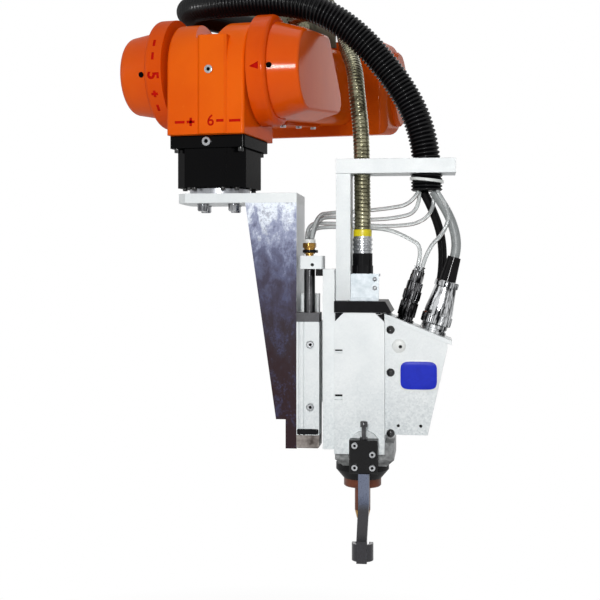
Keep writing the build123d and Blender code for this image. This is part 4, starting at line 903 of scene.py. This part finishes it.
piece("ring_marks", "forearm", RED_MARK, [
    *(on_ring(moved(flat_mark(STROKE, 11.0), 0, ring_height(a)), -75, RING_FACE) for a in (26, 11, -44)),
    on_ring(moved(digit("5", 17.0, 0.7), 0, ring_height(-9), 1), -74, RING_FACE),
    on_ring(moved(flat_mark(STROKE, 10.0), 0, ring_height(-28)), -75, RING_FACE),
    on_ring(moved(flat_mark(10.0, STROKE), 0, ring_height(-28)), -75, RING_FACE),
    on_ring((TRIANGLE + np.array((0, ring_height(-4), 0)), [(0, 1, 2)]), 79, RING_FACE),
], sheet=0.2)
piece("housing_marks", "wrist", RED_MARK, [
    on_front(moved(flat_mark(15.0, STROKE), -36, MARK_HEIGHT), SIDE_FACE),
    on_front(moved(flat_mark(12.0, STROKE), -19, MARK_HEIGHT), SIDE_FACE),
    on_front(moved(flat_mark(STROKE, 12.0), -19, MARK_HEIGHT), SIDE_FACE),
    on_front(moved(digit("6", 16.0, 0.25), 13, MARK_HEIGHT + 1), MIDDLE_FACE),
    on_front(moved(flat_mark(11.0, STROKE), 27, MARK_HEIGHT), MIDDLE_FACE),
    on_front(moved(flat_mark(17.0, STROKE), 48, MARK_HEIGHT), SIDE_FACE),
], sheet=0.2)


def squared_off(wave, power):
    """The wave's size raised to a power, its sign kept; a power under 1 makes a circle squarer."""
    return np.sign(wave) * np.abs(wave) ** power


def rounded_plate(width, height, corner, thick):
    """A thin plate with a rolled edge: a superellipse that shrinks ring by ring to its middle."""
    turn = np.linspace(0.0, 2.0 * np.pi, PLATE_SIDES, endpoint=False)
    power = 2.0 / corner
    wide = squared_off(np.cos(turn), power) * width / 2
    tall = squared_off(np.sin(turn), power) * height / 2
    outline = np.stack((wide, tall), -1)
    share = np.array((0.0, 0.35, 0.7, 0.97, 1.0, 1.0, 0.0))
    rise = np.array((1.0, 1.0, 1.0, 1.0, 0.6, 0.0, 0.0)) * thick
    flat = share[:, None, None] * outline[None]
    return grid_patch(np.concatenate((flat, np.repeat(rise[:, None, None], PLATE_SIDES, 1)), -1), True)


def facing_front(patch, spot):
    """A plate drawn lying down, stood up on a face of the head that looks forward."""
    points, faces = patch
    stood = points[:, :1] * TOOL_RIGHT + points[:, 1:2] * UP - points[:, 2:] * TOOL_BACK
    return np.asarray(spot) + MM * stood, faces


LABEL_SPOT = in_tool((297, -46, -445))
HOLE_PLUG = ((0, 2.4), (5.0, 2.3), (8.2, 1.9), (9.6, 1.1), (10.0, 0.0), (0, 0))
piece("label_border", "weld_head", WHITE_PLASTIC, [
    facing_front(rounded_plate(56, 44, 5.0, 0.4), LABEL_SPOT),
])
piece("blank_label", "weld_head", BLUE_LABEL, [
    facing_front(rounded_plate(52, 40, 5.0, 0.7), LABEL_SPOT),
])
piece("hole_plug", "weld_head", WHITE_PLASTIC, [
    seated(turned(HOLE_PLUG, 40), in_tool((269, -46, -403)), TOOL_FRONT),
])
# Dark sheets behind the front cover's top corners and at the top of its two slots: painted shade.
piece("cover_slot_shade", "weld_head", BLACK_PLASTIC_AND_SLOT_SHADE, [
    facing_front(rounded_plate(70.6, 22, 40.0, 0.5), in_tool((213, -50, -367))),
    facing_front(rounded_plate(11.0, 2.2, 20.0, 0.5), in_tool((183.4, -50, -409.4))),
    facing_front(rounded_plate(11.0, 3.2, 20.0, 0.5), in_tool((183.4, -50, -474.0))),
])
piece("cylinder_foot_band", "tool_mount", BLACK_PLASTIC_AND_SLOT_SHADE, [
    facing_front(rounded_plate(31.0, 8.0, 9.0, 0.6), in_tool((138.5, -52, -527))),
])


# Fittings on the lines

def ribbed_collar():
    """End of the conduit below the arm: five rounded rings on one axis, closed underneath."""
    up = np.linspace(-179.0, -154.5, 80)
    wave = 0.5 + 0.5 * np.cos(2.0 * np.pi * (up + 179.0 - 2.4) / 5.0)
    rows = [(0.0, -178.0), (18.5, -178.0), *np.stack((20.4 + 2.6 * wave ** 0.7, up), -1), (0.0, -154.5)]
    return turned(rows, 48)


CONDUIT_AXIS = in_tool((308, 0, 0))
HOSE_AXIS = in_tool((214, 0, 0))
collar = piece("conduit_end_rings", "weld_head", CONDUIT_BLACK, [
    seated(ribbed_collar(), CONDUIT_AXIS, UP),
], 60.0)
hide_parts("conduit_collar")


def tie_band():
    """A flat strap: a rounded rectangle carried round a circle whose height follows a sine."""
    turn = np.linspace(0.0, 2.0 * np.pi, 64, endpoint=False)
    around = np.linspace(0.0, 2.0 * np.pi, 16, endpoint=False)
    out = 23.9 + 0.9 * squared_off(np.cos(around), 0.5)
    rise = 2.2 * squared_off(np.sin(around), 0.5)
    height = -163.0 + 2.6 * np.sin(turn)[:, None] + rise
    points = np.stack((out * np.cos(turn)[:, None], out * np.sin(turn)[:, None], height), -1)
    return grid_patch(np.concatenate((points, points[:1])), True)


def strap_tail():
    """The strap's loose end: a thin rounded strip that leaves the ring and lifts a little."""
    run = np.linspace(0.0, 1.0, 14)
    around = np.linspace(0.0, 2.0 * np.pi, 12, endpoint=False)
    wide = 2.2 * np.minimum(1.0, 6.0 * (1.02 - run))
    x = 18.0 + 13.0 * run[:, None] + 0.0 * around
    y = -16.0 + 5.0 * run[:, None] + 0.6 * np.cos(around)
    z = -164.0 + 3.0 * run[:, None] ** 2 + wide[:, None] * np.sin(around)
    return grid_patch(np.stack((x, y, z), -1), True)


def ferrule_ring(middle):
    """A narrow ring with bevelled edges, its face in twenty shallow ripples."""
    rows = ((13.4, middle + 2.2), (14.4, middle + 1.4), (14.4, middle - 1.4), (13.4, middle - 2.2))
    return turned(rows, 40, (), (20, 0.25, (1, 2)))


HOSE_BAND = ((12.4, -246.0), (13.4, -245.4), (13.6, -244.0), (13.6, -237.0), (13.4, -235.6), (12.4, -235.0))
piece("cable_tie", "weld_head", WHITE_PLASTIC, [
    seated(tie_band(), CONDUIT_AXIS, UP), seated(strap_tail(), CONDUIT_AXIS, UP),
], 50.0)
piece("hose_band", "weld_head", YELLOW_BAND, [seated(turned(HOSE_BAND, 40), HOSE_AXIS, UP)], 30.0)
piece("ferrule_rings", "weld_head", TURNED_STEEL, [
    seated(ferrule_ring(middle), HOSE_AXIS, UP) for middle in (-250.0, -257.0, -264.0)
], 30.0)


def small_plug():
    """Slim connector: a flange ring, rippled barrels and a stepped cap, its upper step six-sided."""
    rows = (
        (0, 0), (13.0, 0), (13.0, 5), (11.4, 5.6), (11.4, 9), (12.8, 9.6), (12.8, 30), (12.0, 30.6),
        (12.0, 34), (12.7, 34.5), (12.7, 47), (11.6, 48), (11.6, 60), (10.6, 61), (10.6, 70), (9.4, 71),
        (9.4, 76), (8.4, 77), (0, 77),
    )
    return turned(rows, 72, (13, 14), (18, 0.3, (5, 6, 9, 10)))


def push_in_end():
    """Push-in end on the cap: a slim barrel with a release ring."""
    rows = (
        (0, 0), (4.6, 0), (4.6, 5.5), (3.6, 6.0), (3.6, 7.4), (4.8, 7.8), (4.8, 9.6), (3.4, 10.2),
        (0, 10.2),
    )
    return turned(rows, 24)


def large_plug():
    """Round connector: a narrow foot, a knurled coupling, a long tapering shell and a clamp ring."""
    rows = (
        (0, 0), (19.0, 0), (19.0, 5), (17.6, 5.6), (17.6, 8), (18.8, 8.6), (18.8, 13), (21.4, 14),
        (22.0, 15), (22.0, 27), (21.2, 28), (20.4, 29), (21.0, 31), (20.6, 36), (15.8, 68), (15.8, 69),
        (17.4, 70), (17.6, 71), (17.6, 77), (16.8, 78.6), (0, 79),
    )
    return turned(rows, 96, (), (48, 0.3, (8, 9)))


small_foot = SMALL_PLUG_SPOT - LEANING * 2 * MM
large_foot = LARGE_PLUG_SPOT - LEANING * 2 * MM
small = piece("small_plug", "weld_head", PLUG_DARK, [
    seated(small_plug(), small_foot, LEANING),
], 28.0)
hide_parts("small_connector")
piece("hose_ends", "weld_head", PLUG_CHROME, [
    seated(push_in_end(), end - LEANING * 8 * MM, LEANING) for end in (fourth_end, signal_end)
], 28.0)
large = piece("large_plug", "weld_head", PLUG_CHROME, [
    seated(large_plug(), large_foot, LEANING),
], 28.0)
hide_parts("large_connector")

# Floor, light and backdrop
FLOOR_RINGS, FLOOR_SIDES = 40, 96
FLOOR_REACH, FLOOR_FORWARD, FLOOR_HEIGHT = 9.0, 0.4, -1.40
radii = np.linspace(0.0, FLOOR_REACH, FLOOR_RINGS)[:, None]
turns = np.linspace(0.0, 2.0 * np.pi, FLOOR_SIDES, endpoint=False)
floor_points, floor_faces = grid_patch(np.stack((
    radii * np.cos(turns), radii * np.sin(turns) - FLOOR_FORWARD,
    np.full((FLOOR_RINGS, FLOOR_SIDES), FLOOR_HEIGHT),
), -1), True)
floor_mesh = bpy.data.meshes.new("floor")
floor_mesh.from_pydata(floor_points.tolist(), [], floor_faces[:, ::-1].tolist())
floor = bpy.data.objects.new("floor", floor_mesh)
bpy.context.scene.collection.objects.link(floor)

pale = Finish("pale_floor")
pale.colour(pale.ramp(pale.noise(3.0), ((0.3, tone(232, 232, 231)), (0.7, tone(240, 240, 239)))))
pale.rough(pale.span(pale.noise(12.0), 0.3, 0.7, 0.6, 0.8))
length = pale.node("ShaderNodeVectorMath", operation="LENGTH")
pale.join(pale.stretched((1.0, 1.0, 0.001)), length.inputs[0])
far = pale.span(length.outputs["Value"], 0.4, 1.3, 0.74, 1.0)
path = pale.node("ShaderNodeLightPath")
seen = pale.math("MAXIMUM", path.outputs["Is Camera Ray"], path.outputs["Is Glossy Ray"])
seen = pale.math("MAXIMUM", seen, path.outputs["Is Transmission Ray"])
white = pale.node("ShaderNodeEmission")
both = pale.node("ShaderNodeMixShader")
pale.join(pale.math("MULTIPLY", far, seen), both.inputs[0])
pale.join(pale.shader.outputs[0], both.inputs[1])
pale.join(white.outputs[0], both.inputs[2])
pale.join(both.outputs[0], pale.tree.nodes["Material Output"].inputs["Surface"])
floor_mesh.materials.append(pale.material)

world = bpy.data.worlds.new("studio")
world.use_nodes = True
bpy.context.scene.world = world
tree = world.node_tree
shown = tree.nodes["Background"]
shown.inputs["Color"].default_value = (1.0, 1.0, 1.0, 1.0)
shown.inputs["Strength"].default_value = 1.0
ambient = tree.nodes.new("ShaderNodeBackground")
ambient.inputs["Color"].default_value = (0.96, 0.98, 1.0, 1.0)
heading = tree.nodes.new("ShaderNodeTexCoord")
parts = tree.nodes.new("ShaderNodeSeparateXYZ")
side = tree.nodes.new("ShaderNodeMapRange")
for key, number in (("From Min", -0.3), ("From Max", 0.9), ("To Min", 0.36), ("To Max", 0.16)):
    side.inputs[key].default_value = number
path = tree.nodes.new("ShaderNodeLightPath")
first = tree.nodes.new("ShaderNodeMath")
second = tree.nodes.new("ShaderNodeMath")
first.operation = second.operation = "MAXIMUM"
mix = tree.nodes.new("ShaderNodeMixShader")
for source, target in (
    (heading.outputs["Generated"], parts.inputs["Vector"]),
    (parts.outputs["X"], side.inputs["Value"]),
    (side.outputs["Result"], ambient.inputs["Strength"]),
    (path.outputs["Is Camera Ray"], first.inputs[0]),
    (path.outputs["Is Glossy Ray"], first.inputs[1]),
    (first.outputs[0], second.inputs[0]),
    (path.outputs["Is Transmission Ray"], second.inputs[1]),
    (second.outputs[0], mix.inputs[0]),
    (ambient.outputs[0], mix.inputs[1]),
    (shown.outputs[0], mix.inputs[2]),
    (mix.outputs[0], tree.nodes["World Output"].inputs["Surface"]),
):
    tree.links.new(source, target)


def softbox(name, spot, aim, size, power):
    """A square lamp at a spot, turned towards its aim."""
    lamp = bpy.data.lights.new(name, "AREA")
    lamp.size = size
    lamp.energy = power
    made = bpy.data.objects.new(name, lamp)
    bpy.context.scene.collection.objects.link(made)
    made.location = spot
    ahead = np.asarray(aim, float) - np.asarray(spot, float)
    tilt = math.atan2(np.hypot(ahead[0], ahead[1]), -ahead[2])
    made.rotation_euler = (tilt, 0.0, math.atan2(-ahead[0], ahead[1]))


AIM = (0.28, -0.62, -0.30)
softbox("front_lamp", (0.685, -2.35, -0.08), AIM, 0.22, 18.0)
softbox("left_lamp", (-1.60, -1.60, 0.20), AIM, 1.0, 2.5)
softbox("top_lamp", (0.20, -0.20, 1.90), AIM, 1.2, 6.5)
softbox("back_lamp", (0.30, 1.70, 0.55), AIM, 1.2, 9.0)

bpy.context.scene.view_settings.view_transform = "Standard"
